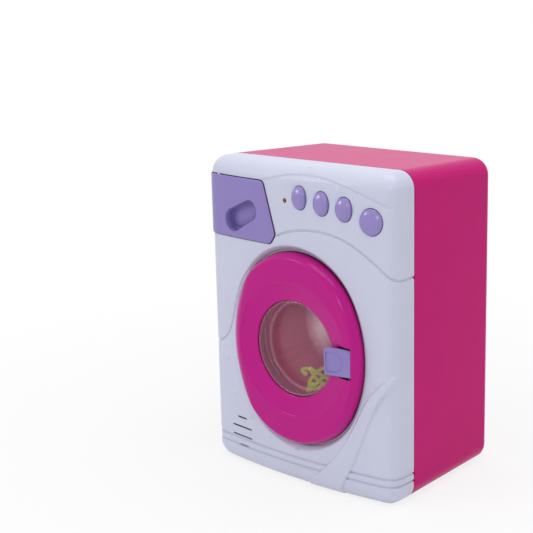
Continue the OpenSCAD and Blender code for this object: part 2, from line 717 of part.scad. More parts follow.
module drum_screw() {
    placed() color("silver") screw(door_x, door_z, drum_back - drum_wall - 1.8, drum_back + 6, 1, 3.2, 1.7);
}

module drum_gear() {
    placed() color("ivory") difference() {
        union() {
            gear(drum_at, idler_turn, drum_n, gear_front + 4.5, gear_front + 10);
            rod(door_x, door_z, gear_front + 2.4, gear_front + 11.5, 6.5);
            rod(door_x, door_z, gear_front + 11, gear_back - 2.4, 4.4);
        }
        for (a = [0:60:300]) rod(door_x + 10.4 * cos(a), door_z + 10.4 * sin(a), gear_front, gear_back, 2.4);
        rod(door_x, door_z, gear_front, gear_back, shaft_r + 0.02);
    }
}

module drum_bush() {
    placed() color("goldenrod") turned(door_x, door_z) polygon([[shaft_r + run, gear_front - 1.6],
        [shaft_r + 3.6, gear_front - 1.6], [shaft_r + 3.6, gear_front - 0.1], [shaft_r + 1.9, gear_front - 0.1],
        [shaft_r + 1.9, gear_front + 2], [shaft_r + run, gear_front + 2]]);
}

module gearbox_plan() {
    rounded(gear_mid_x - gear_half_w, gear_mid_x + gear_half_w, gear_mid_z - gear_half_h,
        gear_mid_z + gear_half_h, gearbox_r);
}

module gearbox_base() {
    placed() color("whitesmoke") difference() {
        slab(gear_front + 2.05, gear_back) gearbox_plan();
        difference() {
            slab(gear_front + 1, gear_back - 2) rounded(gear_mid_x - gear_half_w + 2,
                gear_mid_x + gear_half_w - 2, gear_mid_z - gear_half_h + 2, gear_mid_z + gear_half_h - 2,
                gearbox_r - 2);
            for (p = pillar_at) rod(p[0], p[1], gear_front, gear_back, 3.2);
        }
        for (p = pillar_at) rod(p[0], p[1], gear_front, gear_back + 1, 1.5);
        rod(door_x, door_z, gear_back - 3, gear_back + 1, shaft_r + run);
        rod(idler_at[0], idler_at[1], gear_back - 3, gear_back + 1, axle_r + 0.02);
        rod(motor_at[0], motor_at[1], gear_back - 3, gear_back + 1, 3.1);
        for (m = [-1, 1]) rod(motor_at[0] + m * motor_fix, motor_at[1], gear_back - 3, gear_back + 1, 1.1);
    }
}

module gearbox_cover() {
    placed() color("whitesmoke") slab(gear_front, gear_front + 2) difference() {
        gearbox_plan();
        for (p = pillar_at) translate(p) circle(1.5);
        translate(drum_at) circle(shaft_r + 1.92);
        translate(idler_at) circle(axle_r + 0.02);
    }
}

module gearbox_screws() {
    placed() color("silver") for (p = pillar_at)
        screw(p[0], p[1], gear_front - 1.8, gear_back + pillar_screw_l, 1.25, 2.6, 1.7);
}

module idler_axle() {
    placed() color("silver") rod(idler_at[0], idler_at[1], gear_front + 0.2, gear_back - 0.2, axle_r);
}

module idler_gear() {
    back = motor_turn;
    placed() color("ivory") difference() {
        union() {
            gear(idler_at, idler_turn + 180 + 180 / pinion_n, pinion_n, pinion_y[0], pinion_y[1] + eps);
            rod(idler_at[0], idler_at[1], pinion_y[1], gear_back - 2.3, 3.6);
            gear(idler_at, back, idler_n, idler_y[0], idler_y[1]);
        }
        rod(idler_at[0], idler_at[1], gear_front, gear_back, axle_r + run);
        for (a = [15:72:303]) rod(idler_at[0] + 8.6 * cos(a), idler_at[1] + 8.6 * sin(a), gear_front,
            gear_back, 2.2);
    }
}

motor_shaft_r = 1;
module motor() {
    placed() color("silver") difference() {
        union() {
            slab(gear_back + 0.1, gear_back + motor_l) translate(motor_at) intersection() {
                circle(motor_r);
                box2(-motor_r, motor_r, -motor_flat, motor_flat);
            }
            rod(motor_at[0], motor_at[1], gear_back - 1.6, gear_back + 1, 3);
        }
        rod(motor_at[0], motor_at[1], gear_back - 3, gear_back + 13, motor_shaft_r + run);
        for (m = [-1, 1]) rod(motor_at[0] + m * motor_fix, motor_at[1], gear_back - 3, gear_back + 4, 0.95);
    }
}

module motor_screws() {
    placed() color("silver") for (m = [-1, 1])
        screw(motor_at[0] + m * motor_fix, motor_at[1], gear_back - 3.3, gear_back + 3.5, 0.9, 1.6, 1.2);
}

module motor_shaft() {
    placed() color("silver") rod(motor_at[0], motor_at[1], idler_y[0] - 1.5, gear_back + 12.5, motor_shaft_r);
}

module motor_pinion() {
    placed() color("goldenrod") difference() {
        gear(motor_at, motor_turn + 180 + 180 / pinion_n, pinion_n, idler_y[0] - 0.8, idler_y[1] + 0.8);
        rod(motor_at[0], motor_at[1], gear_front, gear_back, motor_shaft_r + 0.02);
    }
}

// Hangers that lie in the drum

hanger_w = 2.2;
hanger_half = 17;
hanger_shoulder = [for (m = [-1, 1], i = [0:3]) let (q = [[4.5, 6.5], [9, 5.6], [12.6, 3.2], [15.6, 1.6]])
    m < 0 ? [-q[3 - i][0], q[3 - i][1]] : q[i]];
hanger_hook = [[0, 5], [0.7, 9], [0.8, 12.5], [-0.4, 15.6], [-2.8, 17], [-4.9, 15.6], [-5, 13]];
// A doll's flat clothes hanger in the xz plane, its hook towards +z
module hanger() {
    c = curve(hanger_shoulder, 3);
    inner = [for (i = [4:len(c) - 5]) c[i]];
    slab(-hanger_w / 2, hanger_w / 2) difference() {
        polygon(concat(beside(c, hanger_w / 2), [[hanger_half, -hanger_w / 2], [-hanger_half, -hanger_w / 2]]));
        polygon(concat(beside(inner, -hanger_w / 2), [[inner[len(inner) - 1][0], hanger_w / 2],
            [inner[0][0], hanger_w / 2]]));
    }
    slab(-hanger_w / 2 + 0.1, hanger_w / 2 - 0.1) band(hanger_hook, hanger_w);
    for (p = [[hanger_half, 0.6], [-hanger_half, 0.6], hanger_hook[6]])
        slab(-hanger_w / 2 - 0.2, hanger_w / 2 + 0.2) translate(p) circle(hanger_w * 0.75);
}

// Each hanger stands on the drum's floor by its lower end: place, then turn
drum_floor = door_z - drum_r + drum_wall;
hanger_a_at = [door_x - 13.9, drum_front + 20.3, drum_floor + 17.5];
hanger_a_turn = [-84, -51, 97];
hanger_b_at = [door_x - 8.8, drum_front + 17.4, drum_floor + 20.2];
hanger_b_turn = [-151, -70, -47];
module hanger_a() { placed() color("yellowgreen") translate(hanger_a_at) rotate(hanger_a_turn) hanger(); }
module hanger_b() { placed() color("olivedrab") translate(hanger_b_at) rotate(hanger_b_turn) hanger(); }

// Drawer

tray_left = -half_w + 7.6;
tray_right = drawer_corner[0] - 2;
tray_lo = drawer_low + 3.2;
tray_hi = drawer_top - 4.5;
tray_wall = 1.6;

module scoop(g) {
    translate([-half_w + 39.3, drawer_low + 17.6]) rotate(25) {
        for (e = [[-13.5, 7.4], [13, 6.2]]) translate([e[0], 0]) circle(e[1] + g);
        polygon([[-13.5, -7.4 - g], [13, -6.2 - g], [13, 6.2 + g], [-13.5, 7.4 + g]]);
    }
}

module detergent_drawer() {
    out = 0.7;
    pocket_y = 1.2;
    placed() color("mediumpurple") difference() {
        union() {
            difference() {
                intersection() {
                    front_form(out, drawer_wrap);
                    slab(-bow - 5, drawer_wrap) drawer_outline(0);
                }
                difference() {
                    front_form(-wall, drawer_wrap + 1);
                    slab(-bow, pocket_y + 1.6) scoop(1.6);
                }
            }
            difference() {
                intersection() {
                    front_form(-wall / 2, tray_d);
                    slab(-bow, tray_d) rounded(tray_left, tray_right, tray_lo, tray_hi, 2);
                }
                translate([0, 0, tray_lo + tray_wall]) linear_extrude(body_h) box2(tray_left + tray_wall,
                    tray_right - tray_wall, pocket_y + 3.2, tray_d - tray_wall);
                slab(-bow - 5, pocket_y + 1.6) box2(tray_left + tray_wall, tray_right - tray_wall,
                    tray_lo + tray_wall, body_h);
            }
            intersection() {
                front_form(-wall / 2, drawer_wrap);
                slab(-bow, pocket_y + 1.6) scoop(1.6);
            }
        }
        slab(-bow - 5, pocket_y) scoop(0);
    }
}

module drawer_guide() {
    placed() color("gainsboro") difference() {
        intersection() {
            front_form(-wall - gap, tray_d + 4);
            slab(-bow, tray_d + 4) rounded(tray_left - 2, tray_right + 2, tray_lo - 2, tray_hi + 2.6, 3);
        }
        slab(-bow - 1, tray_d + 2.4) rounded(tray_left - 0.4, tray_right + 0.4, tray_lo - 0.4, tray_hi + 1, 2);
        slab(-bow - 5, drawer_wrap + 1) drawer_outline(1);
    }
}

// Buttons, board and sound

stem_end = board_y - 4.2 - button_travel - 0.2;
flange_out = 1.5;
flange_wall = 1.3;

module button(i) {
    at = button_at[i];
    face = front_y(at[0]) - button_out;
    dome_r = is_big(i) ? 30 : 26;
    tilt = asin(at[0] / bow_r);
    placed() color("mediumpurple") {
        difference() {
            union() {
                intersection() {
                    slab(-bow - 10, 6) button_oval(i, 0);
                    translate([at[0] - dome_r * sin(tilt), face + dome_r * cos(tilt), at[1]])
                        sphere(dome_r, $fn = 144);
                }
                intersection() {
                    front_form(-wall - gap, 12);
                    slab(-bow, 6) button_oval(i, flange_out);
                }
            }
            front_form(-wall - gap - flange_wall, 13);
        }
        difference() {
            rod(at[0], at[1], front_y(at[0]) + 2, stem_end, 3);
            rod(at[0], at[1], stem_end - 4, stem_end + 1, 1.6);
        }
    }
}
module button_1() { button(0); }
module button_2() { button(1); }
module button_3() { button(2); }
module start_button() { button(3); }

module button_spring(i) {
    at = button_at[i];
    low = front_y(at[0] + 5.6) + wall + gap + flange_wall + 0.9;
    placed() color("lightgrey") translate([at[0], board_y - 0.1, at[1]]) rotate([90, 0, 0])
        spring(4, 5.1, 0.35, board_y - 0.1 - low);
}
module button_spring_1() { button_spring(0); }
module button_spring_2() { button_spring(1); }
module button_spring_3() { button_spring(2); }
module start_spring() { button_spring(3); }

module circuit_board() {
    placed() color("darkgreen") slab(board_y, board_y + board_t) difference() {
        rounded(board_left, board_right, board_low, board_high, 2);
        for (p = board_bosses) translate(p) circle(1.3);
        translate(case_screw_at[3]) circle(case_boss_r + 1);
    }
}

module board_screws() {
    placed() color("silver") for (p = board_bosses)
        screw(p[0], p[1], board_y + board_t + 1.4, board_y - board_screw_l, 1, 2.1, 1.35);
}

module tact_switches() {
    placed() color("dimgrey") for (at = button_at) {
        slab(board_y - 3.5, board_y - 0.05) translate(at) box2(-3, 3, -3, 3);
        rod(at[0], at[1], board_y - 4.2, board_y - 3.5 + eps, 1.7);
    }
}

module status_light() {
    y0 = front_y(light_at[0]) + 1;
    placed() color("darkred") translate([light_at[0], 0, light_at[1]]) {
        rotate([90, 0, 0]) translate([0, 0, -y0 - 4.5]) cylinder(h = 4.5, r = light_r);
        translate([0, y0, 0]) sphere(light_r);
        rotate([90, 0, 0]) translate([0, 0, -y0 - 5.5]) cylinder(h = 1.2, r = light_r + 0.45);
        for (m = [-0.7, 0.7]) translate([m, y0 + 5.4, 0]) rotate([-90, 0, 0])
            cylinder(h = board_y - y0 - 5.45, r = 0.3);
    }
}

module speaker() {
    placed() color("dimgrey") turned(speaker_x, speaker_z) polygon([[speaker_r - 2.4, speaker_y],
        [speaker_r, speaker_y], [speaker_r, speaker_y + 1.4], [speaker_r - 2, speaker_y + 1.4],
        [10.5, speaker_y + 6], [10.5, speaker_y + 11], [0, speaker_y + 11], [0, speaker_y + 8],
        [8, speaker_y + 5.2], [speaker_r - 3.2, speaker_y + 1.4], [speaker_r - 2.4, speaker_y + 1.1]]);
}

module speaker_cone() {
    placed() color("black") turned(speaker_x, speaker_z) polygon([[speaker_r - 2.5, speaker_y + 0.1],
        [speaker_r - 3.6, speaker_y + 0.1], [7, speaker_y + 3.9], [3.5, speaker_y + 3.1], [0, speaker_y + 2.9],
        [0, speaker_y + 3.7], [3.3, speaker_y + 4], [6.8, speaker_y + 4.9], [speaker_r - 3.7, speaker_y + 1],
        [speaker_r - 2.5, speaker_y + 1]]);
}

// Batteries

module cell_spots() { for (i = [-1:1]) translate([i * cell_pitch, 0, 0]) children(); }

module battery_box() {
    placed() color("deeppink") difference() {
        union() {
            slab(box_front, rear_in - 0.2) rounded(-box_half, box_half, box_lo, box_hi, 2);
            slab(rear_in - 2, rear_in) difference() {
                rounded(-box_half - 4, box_half + 4, box_lo - 4, box_hi + 4, 3);
                box2(-cover_half - 1, cover_half + 1, cover_lo - 1, cover_hi + 1);
            }
        }
        cell_spots() upright(0, cell_y, cell_z - 4.7, box_hi - 1.8, cell_r + gap);
        slab(cell_y, body_d) box2(-cell_pitch * 1.5, cell_pitch * 1.5, cell_z - 4.7, box_hi - 1.8);
        rod(0, (box_lo + cell_z - 4.7) / 2, rear_in - 9, body_d, 1.05);
    }
}

module battery_contacts() {
    t = 0.4;
    placed() color("silver") cell_spots() {
        translate([-4, cell_y - 5, cell_z - 4.6]) cube([8, 10, t]);
        translate([-4, cell_y - 5, box_hi - 1.9 - t]) cube([8, 10, t]);
        translate([0, cell_y, cell_z - 4.6 + t + 0.05]) spring(3, 3, 0.4, 4.6 - t - 0.3);
    }
}

module battery_cells() {
    placed() color("slategrey") cell_spots() {
        upright(0, cell_y, cell_z, cell_z + cell_l, cell_r);
        upright(0, cell_y, cell_z + cell_l - eps, cell_z + cell_l + 1, 2.6);
    }
}

module battery_cover() {
    screw_z = (box_lo + cell_z - 4.7) / 2;
    placed() color("mediumvioletred") difference() {
        union() {
            slab(rear_in, body_d) rounded(-cover_half, cover_half, cover_lo, cover_hi, 1.5);
            for (m = [-0.5, 0.5]) slab(cell_y + 3.4, rear_in + 0.5)
                box2(m * cell_pitch - 0.6, m * cell_pitch + 0.6, cell_z + 4, cell_z + cell_l - 6);
            for (i = [0:3]) slab(body_d - 0.5, body_d + 0.6)
                rounded(-9, 9, cover_hi - 6 - i * 3, cover_hi - 4.8 - i * 3, 0.55);
        }
        rod(0, screw_z, rear_in - 1, body_d + 1, 1.25);
        rod(0, screw_z, body_d - 1.2, body_d + 1, 2.6);
    }
}

module cover_screw() {
    screw_z = (box_lo + cell_z - 4.7) / 2;
    placed() color("silver") screw(0, screw_z, body_d - 0.05, rear_in - cover_screw_l, 1, 2.3, 1.1);
}

front_panel();
cabinet();
case_screws();
hinge_pin();
drawer_guide();
circuit_board();
board_screws();
tact_switches();
status_light();
speaker();
speaker_cone();
gearbox_base();
gearbox_cover();
gearbox_screws();
drum_bush();
idler_axle();
motor();
motor_screws();
battery_box();
battery_contacts();
battery_cells();
door_ring();
door_window();
window_retainer();
retainer_screws();
latch_pin();
latch_spring();
door_latch();
drum();
drum_shaft();
drum_gear();
drum_screw();
hanger_a();
hanger_b();
idler_gear();
motor_shaft();
motor_pinion();
detergent_drawer();
button_1();
button_2();
button_3();
start_button();
button_spring_1();
button_spring_2();
button_spring_3();
start_spring();
battery_cover();
cover_screw();
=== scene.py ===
import math

import bmesh
import bpy
import numpy as np
from mathutils import Matrix, Vector
from mathutils.geometry import delaunay_2d_cdt


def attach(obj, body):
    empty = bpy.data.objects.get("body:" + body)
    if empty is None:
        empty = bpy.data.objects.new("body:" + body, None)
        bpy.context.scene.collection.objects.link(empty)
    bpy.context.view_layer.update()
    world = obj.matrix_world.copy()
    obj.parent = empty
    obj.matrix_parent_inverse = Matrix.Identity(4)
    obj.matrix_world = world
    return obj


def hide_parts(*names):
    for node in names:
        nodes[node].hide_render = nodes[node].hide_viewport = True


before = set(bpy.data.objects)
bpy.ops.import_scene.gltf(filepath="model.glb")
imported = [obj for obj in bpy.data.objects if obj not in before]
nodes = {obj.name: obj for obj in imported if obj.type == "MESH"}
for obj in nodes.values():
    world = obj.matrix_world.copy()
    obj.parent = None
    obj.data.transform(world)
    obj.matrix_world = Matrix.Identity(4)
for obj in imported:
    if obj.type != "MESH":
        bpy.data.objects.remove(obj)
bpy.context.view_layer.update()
print("frame loaded:", len(nodes), "nodes")

midDepth = 56.4  # the toy is drawn with y = 0 at its front corners, and this moves it to its middle
black, white = (0, 0, 0, 1), (1, 1, 1, 1)


def place(x, y, z):
    # a point in the maker's millimetres, to the scene's metres
    return Vector((x / 1000, (y - midDepth) / 1000, z / 1000))


def tint(red, green, blue):
    # 0-255 screen values to linear light
    def one(v):
        v = v / 255
        return v / 12.92 if v <= 0.04045 else ((v + 0.055) / 1.055) ** 2.4

    return (one(red), one(green), one(blue), 1)


def addNode(tree, kind, sockets, operation=None):
    # a shader node, each of its sockets with a plain value or another node's output
    made = tree.nodes.new("ShaderNode" + kind)
    if operation:
        made.operation = operation
    setSockets(tree, made, sockets)
    return made


def setSockets(tree, node, sockets):
    for socket, value in sockets.items():
        if isinstance(value, bpy.types.NodeSocket):
            tree.links.new(value, node.inputs[socket])
        else:
            node.inputs[socket].default_value = value


def newFinish(name):
    mat = bpy.data.materials.new(name)
    mat.use_nodes = True
    tree = mat.node_tree
    return mat, tree, tree.nodes["Principled BSDF"], tree.nodes.new("ShaderNodeTexCoord").outputs["Object"]


def noise(tree, where, scale, detail=2.0, rough=0.5):
    sockets = {"Scale": scale, "Detail": detail, "Roughness": rough, "Vector": where}
    return addNode(tree, "TexNoise", sockets).outputs["Fac"]


def ramp(tree, source, stops):
    made = addNode(tree, "ValToRGB", {"Fac": source})
    elements = made.color_ramp.elements
    while len(elements) < len(stops):
        elements.new(0.5)
    for element, (position, colour) in zip(elements, stops):
        element.position = position
        element.color = colour
    return made.outputs["Color"]


def mixColour(tree, factor, low, high):
    mix = tree.nodes.new("ShaderNodeMix")
    mix.data_type = "RGBA"
    setSockets(tree, mix, {0: factor, 6: low, 7: high})
    return mix.outputs[2]


def mapRange(tree, source, low, high, toLow=0.0, toHigh=1.0, soft=False):
    made = addNode(tree, "MapRange", {"Value": source, "From Min": low, "From Max": high, "To Min": toLow,
                                      "To Max": toHigh})
    if soft:
        made.interpolation_type = "SMOOTHSTEP"
    return made.outputs["Result"]


def relief(tree, source, strength, distance):
    sockets = {"Strength": strength, "Distance": distance, "Height": source}
    return addNode(tree, "Bump", sockets).outputs["Normal"]


# each finish's 'deep' colour is painted shade, mixed in where ambient occlusion finds a crevice (pink on the
# white shell)
finishes = {
    "shellWhite": {"colour": (211, 214, 232), "shade": (205, 208, 227), "rough": 0.36, "grain": 0.05,
                   "gloss": 0.35, "coat": 0.06, "deep": (118, 22, 72), "reach": 0.004, "paintedShade": 0.44},
    "cabinetPink": {"colour": (205, 20, 119), "shade": (197, 18, 113), "rough": 0.3, "grain": 0.05,
                    "gloss": 0.07},
    "ringMagenta": {"colour": (196, 16, 138), "shade": (189, 14, 131), "rough": 0.2, "grain": 0.01,
                    "gloss": 0.17, "coat": 0.06, "deep": (84, 2, 46), "reach": 0.009, "paintedShade": 0.72,
                    # painted shade: the ring darkens towards the back of its side wall
                    "paintedDepthShade": (-7.4, -3.2, 0.7)},
    # in both lilac finishes the paler edges are a painted highlight along bevels
    "lilac": {"colour": (148, 133, 196), "shade": (143, 127, 191), "rough": 0.3, "grain": 0.04, "gloss": 0.3,
              "coat": 0.05, "deep": (50, 36, 108), "reach": 0.01, "paintedShade": 0.86, "worn": 0.5, "edge": 0.58},
    "lilacGlossy": {"colour": (149, 134, 197), "shade": (145, 129, 192), "rough": 0.24, "grain": 0.02,
                    "gloss": 0.5, "coat": 0.3, "deep": (60, 44, 120), "reach": 0.005, "paintedShade": 0.66,
                    "worn": 0.5, "edge": 0.58},
    "drumPink": {"colour": (226, 110, 148), "shade": (216, 103, 140), "rough": 0.42, "grain": 0.05,
                 "gloss": 0.3},
    # the green hangers get a painted glow: light given off by the plastic itself
    "hangerGreen": {"colour": (184, 252, 20), "shade": (172, 244, 14), "rough": 0.3, "grain": 0.03,
                    "gloss": 0.3, "coat": 0.1, "paintedGlow": 0.17},
    "innerWhite": {"colour": (206, 206, 210), "shade": (198, 198, 203), "rough": 0.5, "grain": 0.06,
                   "gloss": 0.4},
    "gearWhite": {"colour": (222, 218, 204), "shade": (214, 210, 196), "rough": 0.45, "grain": 0.03,
                  "gloss": 0.4},
    "blackPlastic": {"colour": (30, 30, 33), "shade": (38, 38, 41), "rough": 0.45, "grain": 0.05,
                     "gloss": 0.4},
}
plainPlastic = {"coat": 0.0, "worn": 0.16, "edge": 0.68, "paintedGlow": 0.0}  # where a finish doesn't say


def mouldedPlastic(name, spec):
    # slow colour drift, paler edges (wear, and on the lilac parts a painted highlight along bevels), painted
    # shade in crevices, faint handling scratches and fine mould grain
    mat, tree, shader, where = newFinish(name)
    spec = plainPlastic | spec
    base = mixColour(tree, noise(tree, where, 28, 3), tint(*spec["colour"]), tint(*spec["shade"]))
    # paler sharp edges: wear, and where a finish pales them strongly, a painted highlight along bevels
    pointed = tree.nodes.new("ShaderNodeNewGeometry").outputs["Pointiness"]
    edge = ramp(tree, pointed, [(spec["edge"], black), (0.9, white)])
    worn = addNode(tree, "Math", {0: edge, 1: noise(tree, where, 220, 4)}, "MULTIPLY").outputs[0]
    pale = tuple(min(255, int(c + (255 - c) * spec["worn"])) for c in spec["colour"])
    base = mixColour(tree, worn, base, tint(*pale))
    if "deep" in spec:
        # painted shade: the colour darkens towards 'deep' where ambient occlusion finds a crevice
        crevice = addNode(tree, "AmbientOcclusion", {"Distance": spec["reach"]})
        crevice.samples = 8
        paintedShade = ramp(tree, crevice.outputs["AO"], [(0.12, white), (spec["paintedShade"], black)])
        base = mixColour(tree, paintedShade, base, tint(*spec["deep"]))
    # painted shade, darkening the colour towards 'deep' further back
    if "paintedDepthShade" in spec:  # darker towards the back
        front, back, most = spec["paintedDepthShade"]
        depth = addNode(tree, "SeparateXYZ", {0: where}).outputs["Y"]
        depth = mapRange(tree, depth, place(0, front, 0).y, place(0, back, 0).y, 0.0, most, True)
        base = mixColour(tree, depth, base, tint(*spec["deep"]))
    scratches = noise(tree, where, 60, 3)
    setSockets(tree, shader, {
        "Base Color": base, "IOR": 1.49, "Specular IOR Level": spec["gloss"], "Coat Weight": spec["coat"],
        "Coat Roughness": 0.12,
        "Roughness": mapRange(tree, scratches, 0.0, 1.0, spec["rough"] - 0.02, spec["rough"] + 0.03),
        "Normal": relief(tree, noise(tree, where, 1900, 3), spec["grain"], 0.0002)})
    if spec["paintedGlow"]:  # painted glow: the plastic gives off light in its own colour
        setSockets(tree, shader, {"Emission Color": tint(*spec["colour"]), "Emission Strength": spec["paintedGlow"]})
    return mat


metals = {
    "steel": {"colour": (196, 198, 202), "dull": (150, 152, 157), "rough": 0.28, "scale": 260},
    "brass": {"colour": (206, 164, 88), "dull": (168, 128, 62), "rough": 0.3, "scale": 260},
    "springWire": {"colour": (182, 184, 190), "dull": (128, 130, 136), "rough": 0.25, "scale": 500},
}


def turnedMetal(name, spec):
    mat, tree, shader, where = newFinish(name)
    stain = noise(tree, where, spec["scale"], 5, 0.6)
    setSockets(tree, shader, {
        "Base Color": mixColour(tree, stain, tint(*spec["colour"]), tint(*spec["dull"])), "Metallic": 1,
        "Roughness": mapRange(tree, stain, 0.0, 1.0, spec["rough"] - 0.08, spec["rough"] + 0.14),
        "Normal": relief(tree, noise(tree, where, 3200, 2), 0.06, 0.0001)})
    return mat


# 'corner' is the colour of a painted highlight round the dish's corner; the whiter, less clear patch towards
# the upper right is a painted glare
clearDish = {
    "flat": (204, 120, 148), "corner": (226, 152, 182), "side": (186, 124, 146), "streak": (176, 136, 142),
    "paintedGlare": (240, 204, 214), "flatCover": 0.24, "cornerCover": 0.42, "sideCover": 0.42, "paintedGlareCover": 0.55,
    "rough": 0.05, "rim": 0.04, "middle": (0.004, 0, 0.1106), "cornerAt": (0.0336, 0.0349, 0.0362),
    "paintedGlareAt": (0.019, 0.0, 0.019), "paintedGlareReach": (0.019, 1.0, 0.026),
}


def clearPlastic(name, spec):
    # a thin clear dish: nearly bare in its middle, with a painted highlight where it turns the corner and a
    # painted glare towards its upper right, streaked down its side
    mat, tree, shader, where = newFinish(name)

    def vectorMath(operation, *values):
        return addNode(tree, "VectorMath", dict(enumerate(values)), operation).outputs

    def layered(flat, side, corner):
        return mixColour(tree, cornerHighlight, mixColour(tree, beyond, flat, side), corner)

    off = vectorMath("SUBTRACT", where, spec["middle"])["Vector"]
    radius = vectorMath("LENGTH", vectorMath("MULTIPLY", off, (1, 0, 1))["Vector"])["Value"]
    share = mapRange(tree, radius, 0.0, spec["rim"])
    drawn = addNode(tree, "Mapping", {"Scale": (420, 60, 420), "Vector": where}).outputs["Vector"]
    streaks = ramp(tree, noise(tree, drawn, 1, 3), [(0.45, black), (0.62, white)])
    # painted highlight: a brighter, less clear band round the corner of the dish
    before, top, after = (at / spec["rim"] for at in spec["cornerAt"])
    cornerHighlight = ramp(tree, share, [(before - 0.03, black), (top, white), (after + 0.01, black)])
    beyond = ramp(tree, share, [(top, black), (after, white)])
    side = mixColour(tree, streaks, tint(*spec["side"]), tint(*spec["streak"]))
    base = layered(tint(*spec["flat"]), side, tint(*spec["corner"]))
    cover = layered(*((spec[k], spec[k], spec[k], 1) for k in ("flatCover", "sideCover", "cornerCover")))
    # painted glare: whiter and less clear towards the dish's upper right
    shift = vectorMath("SUBTRACT", off, spec["paintedGlareAt"])["Vector"]
    away = vectorMath("LENGTH", vectorMath("DIVIDE", shift, spec["paintedGlareReach"])["Vector"])["Value"]
    spread = ramp(tree, away, [(0.1, white), (0.95, black)])
    paintedGlare = addNode(tree, "Math", {0: beyond, 1: -1.0, 2: spread}, "MULTIPLY_ADD")
    paintedGlare.use_clamp = True
    paintedGlare = paintedGlare.outputs[0]
    rough = mapRange(tree, noise(tree, where, 120, 3), 0.0, 1.0, spec["rough"], spec["rough"] + 0.04)
    setSockets(tree, shader, {
        "Base Color": mixColour(tree, paintedGlare, base, tint(*spec["paintedGlare"])), "Roughness": rough,
        "Alpha": mixColour(tree, paintedGlare, cover, (spec["paintedGlareCover"],) * 3 + (1,)), "Specular IOR Level": 0.8,
        "Normal": relief(tree, noise(tree, where, 90, 2), 0.08, 0.0004)})
    return mat


boardLook = {"mask": (26, 92, 52), "track": (44, 122, 70), "rough": 0.35}


def boardFinish(name, spec):
    mat, tree, shader, where = newFinish(name)
    mask = tint(*spec["mask"])
    tracks = addNode(tree, "TexBrick", {"Scale": 260, "Mortar Size": 0.06, "Color1": mask, "Color2": mask,
                                        "Mortar": tint(*spec["track"]), "Vector": where})
    setSockets(tree, shader, {"Base Color": tracks.outputs["Color"], "Roughness": spec["rough"],
                              "Normal": relief(tree, tracks.outputs["Fac"], 0.2, 0.0001)})
    return mat


paperCone = {"colour": (42, 40, 40), "fibre": (66, 62, 60), "rough": 0.85}


def paperFinish(name, spec):
    mat, tree, shader, where = newFinish(name)
    fibres = noise(tree, where, 1400, 6, 0.75)
    setSockets(tree, shader, {
        "Base Color": mixColour(tree, fibres, tint(*spec["colour"]), tint(*spec["fibre"])),
        "Roughness": spec["rough"], "Normal": relief(tree, fibres, 0.4, 0.0002)})
    return mat


lensRed = {"colour": (92, 2, 10), "core": (124, 6, 14), "rough": 0.25}


def lensFinish(name, spec):
    mat, tree, shader, where = newFinish(name)
    cloud = noise(tree, where, 700, 3)
    setSockets(tree, shader, {
        "Base Color": mixColour(tree, cloud, tint(*spec["colour"]), tint(*spec["core"])),
        "Roughness": spec["rough"], "Coat Weight": 0.6, "Coat Roughness": 0.05, "Subsurface Weight": 0.2,
        "Subsurface Scale": 0.001})
    return mat


cellWrap = {"colour": (84, 92, 106), "worn": (74, 82, 96), "band": (150, 156, 166), "rough": 0.3,
            "bandFrom": (0.066, 0.0665)}


def cellFinish(name, spec):
    # plain sleeved cells with a paler band round their upper end
    mat, tree, shader, where = newFinish(name)
    height = mapRange(tree, addNode(tree, "SeparateXYZ", {0: where}).outputs["Z"], *spec["bandFrom"])
    sleeve = mixColour(tree, noise(tree, where, 120, 3), tint(*spec["colour"]), tint(*spec["worn"]))
    setSockets(tree, shader, {"Base Color": mixColour(tree, height, sleeve, tint(*spec["band"])),
                              "Roughness": spec["rough"], "Coat Weight": 0.3})
    return mat


looks = {name: mouldedPlastic(name, spec) for name, spec in finishes.items()}
looks |= {name: turnedMetal(name, spec) for name, spec in metals.items()}
looks["clear"] = clearPlastic("clear", clearDish)
looks["boardGreen"] = boardFinish("boardGreen", boardLook)
looks["conePaper"] = paperFinish("conePaper", paperCone)
looks["ledRed"] = lensFinish("ledRed", lensRed)
looks["cellSleeve"] = cellFinish("cellSleeve", cellWrap)
print("finishes made:", len(looks))

nodeLooks = {
    "shellWhite": ["front_panel"],
    "cabinetPink": ["cabinet", "battery_cover", "battery_box"],
    "ringMagenta": ["door_ring", "window_retainer"],
    "lilac": ["detergent_drawer", "door_latch", "button_1", "button_2", "button_3", "start_button"],
    "drumPink": ["drum"],
    "hangerGreen": ["hanger_a", "hanger_b"],
    "innerWhite": ["drawer_guide"],
    "gearWhite": ["gearbox_base", "gearbox_cover", "drum_gear", "idler_gear"],
    "blackPlastic": ["tact_switches", "speaker"],
    "steel": ["case_screws", "hinge_pin", "board_screws", "gearbox_screws", "idler_axle", "motor",
              "motor_screws", "battery_contacts", "retainer_screws", "latch_pin", "drum_shaft", "drum_screw",
              "motor_shaft", "cover_screw"],
    "springWire": ["latch_spring", "button_spring_1", "button_spring_2", "button_spring_3", "start_spring"],
    "brass": ["drum_bush", "motor_pinion"],
    "clear": ["door_window"],
    "boardGreen": ["circuit_board"],
    "conePaper": ["speaker_cone"],
    "ledRed": ["status_light"],
    "cellSleeve": ["battery_cells"],
}
for look, names in nodeLooks.items():
    for name in names:
        mesh = nodes[name].data
        if not mesh.materials:
            mesh.materials.append(looks[look])
        for index in range(len(mesh.materials)):
            mesh.materials[index] = looks[look]
print("frame nodes finished:", sum(len(names) for names in nodeLooks.values()))


def smooth(low, high, value):
    t = np.clip((value - low) / (high - low), 0, 1)
    return t * t * (3 - 2 * t)


def softMax(a, b, reach):
    return np.maximum(a, b) + np.maximum(reach - np.abs(a - b), 0) ** 2 / (4 * reach)


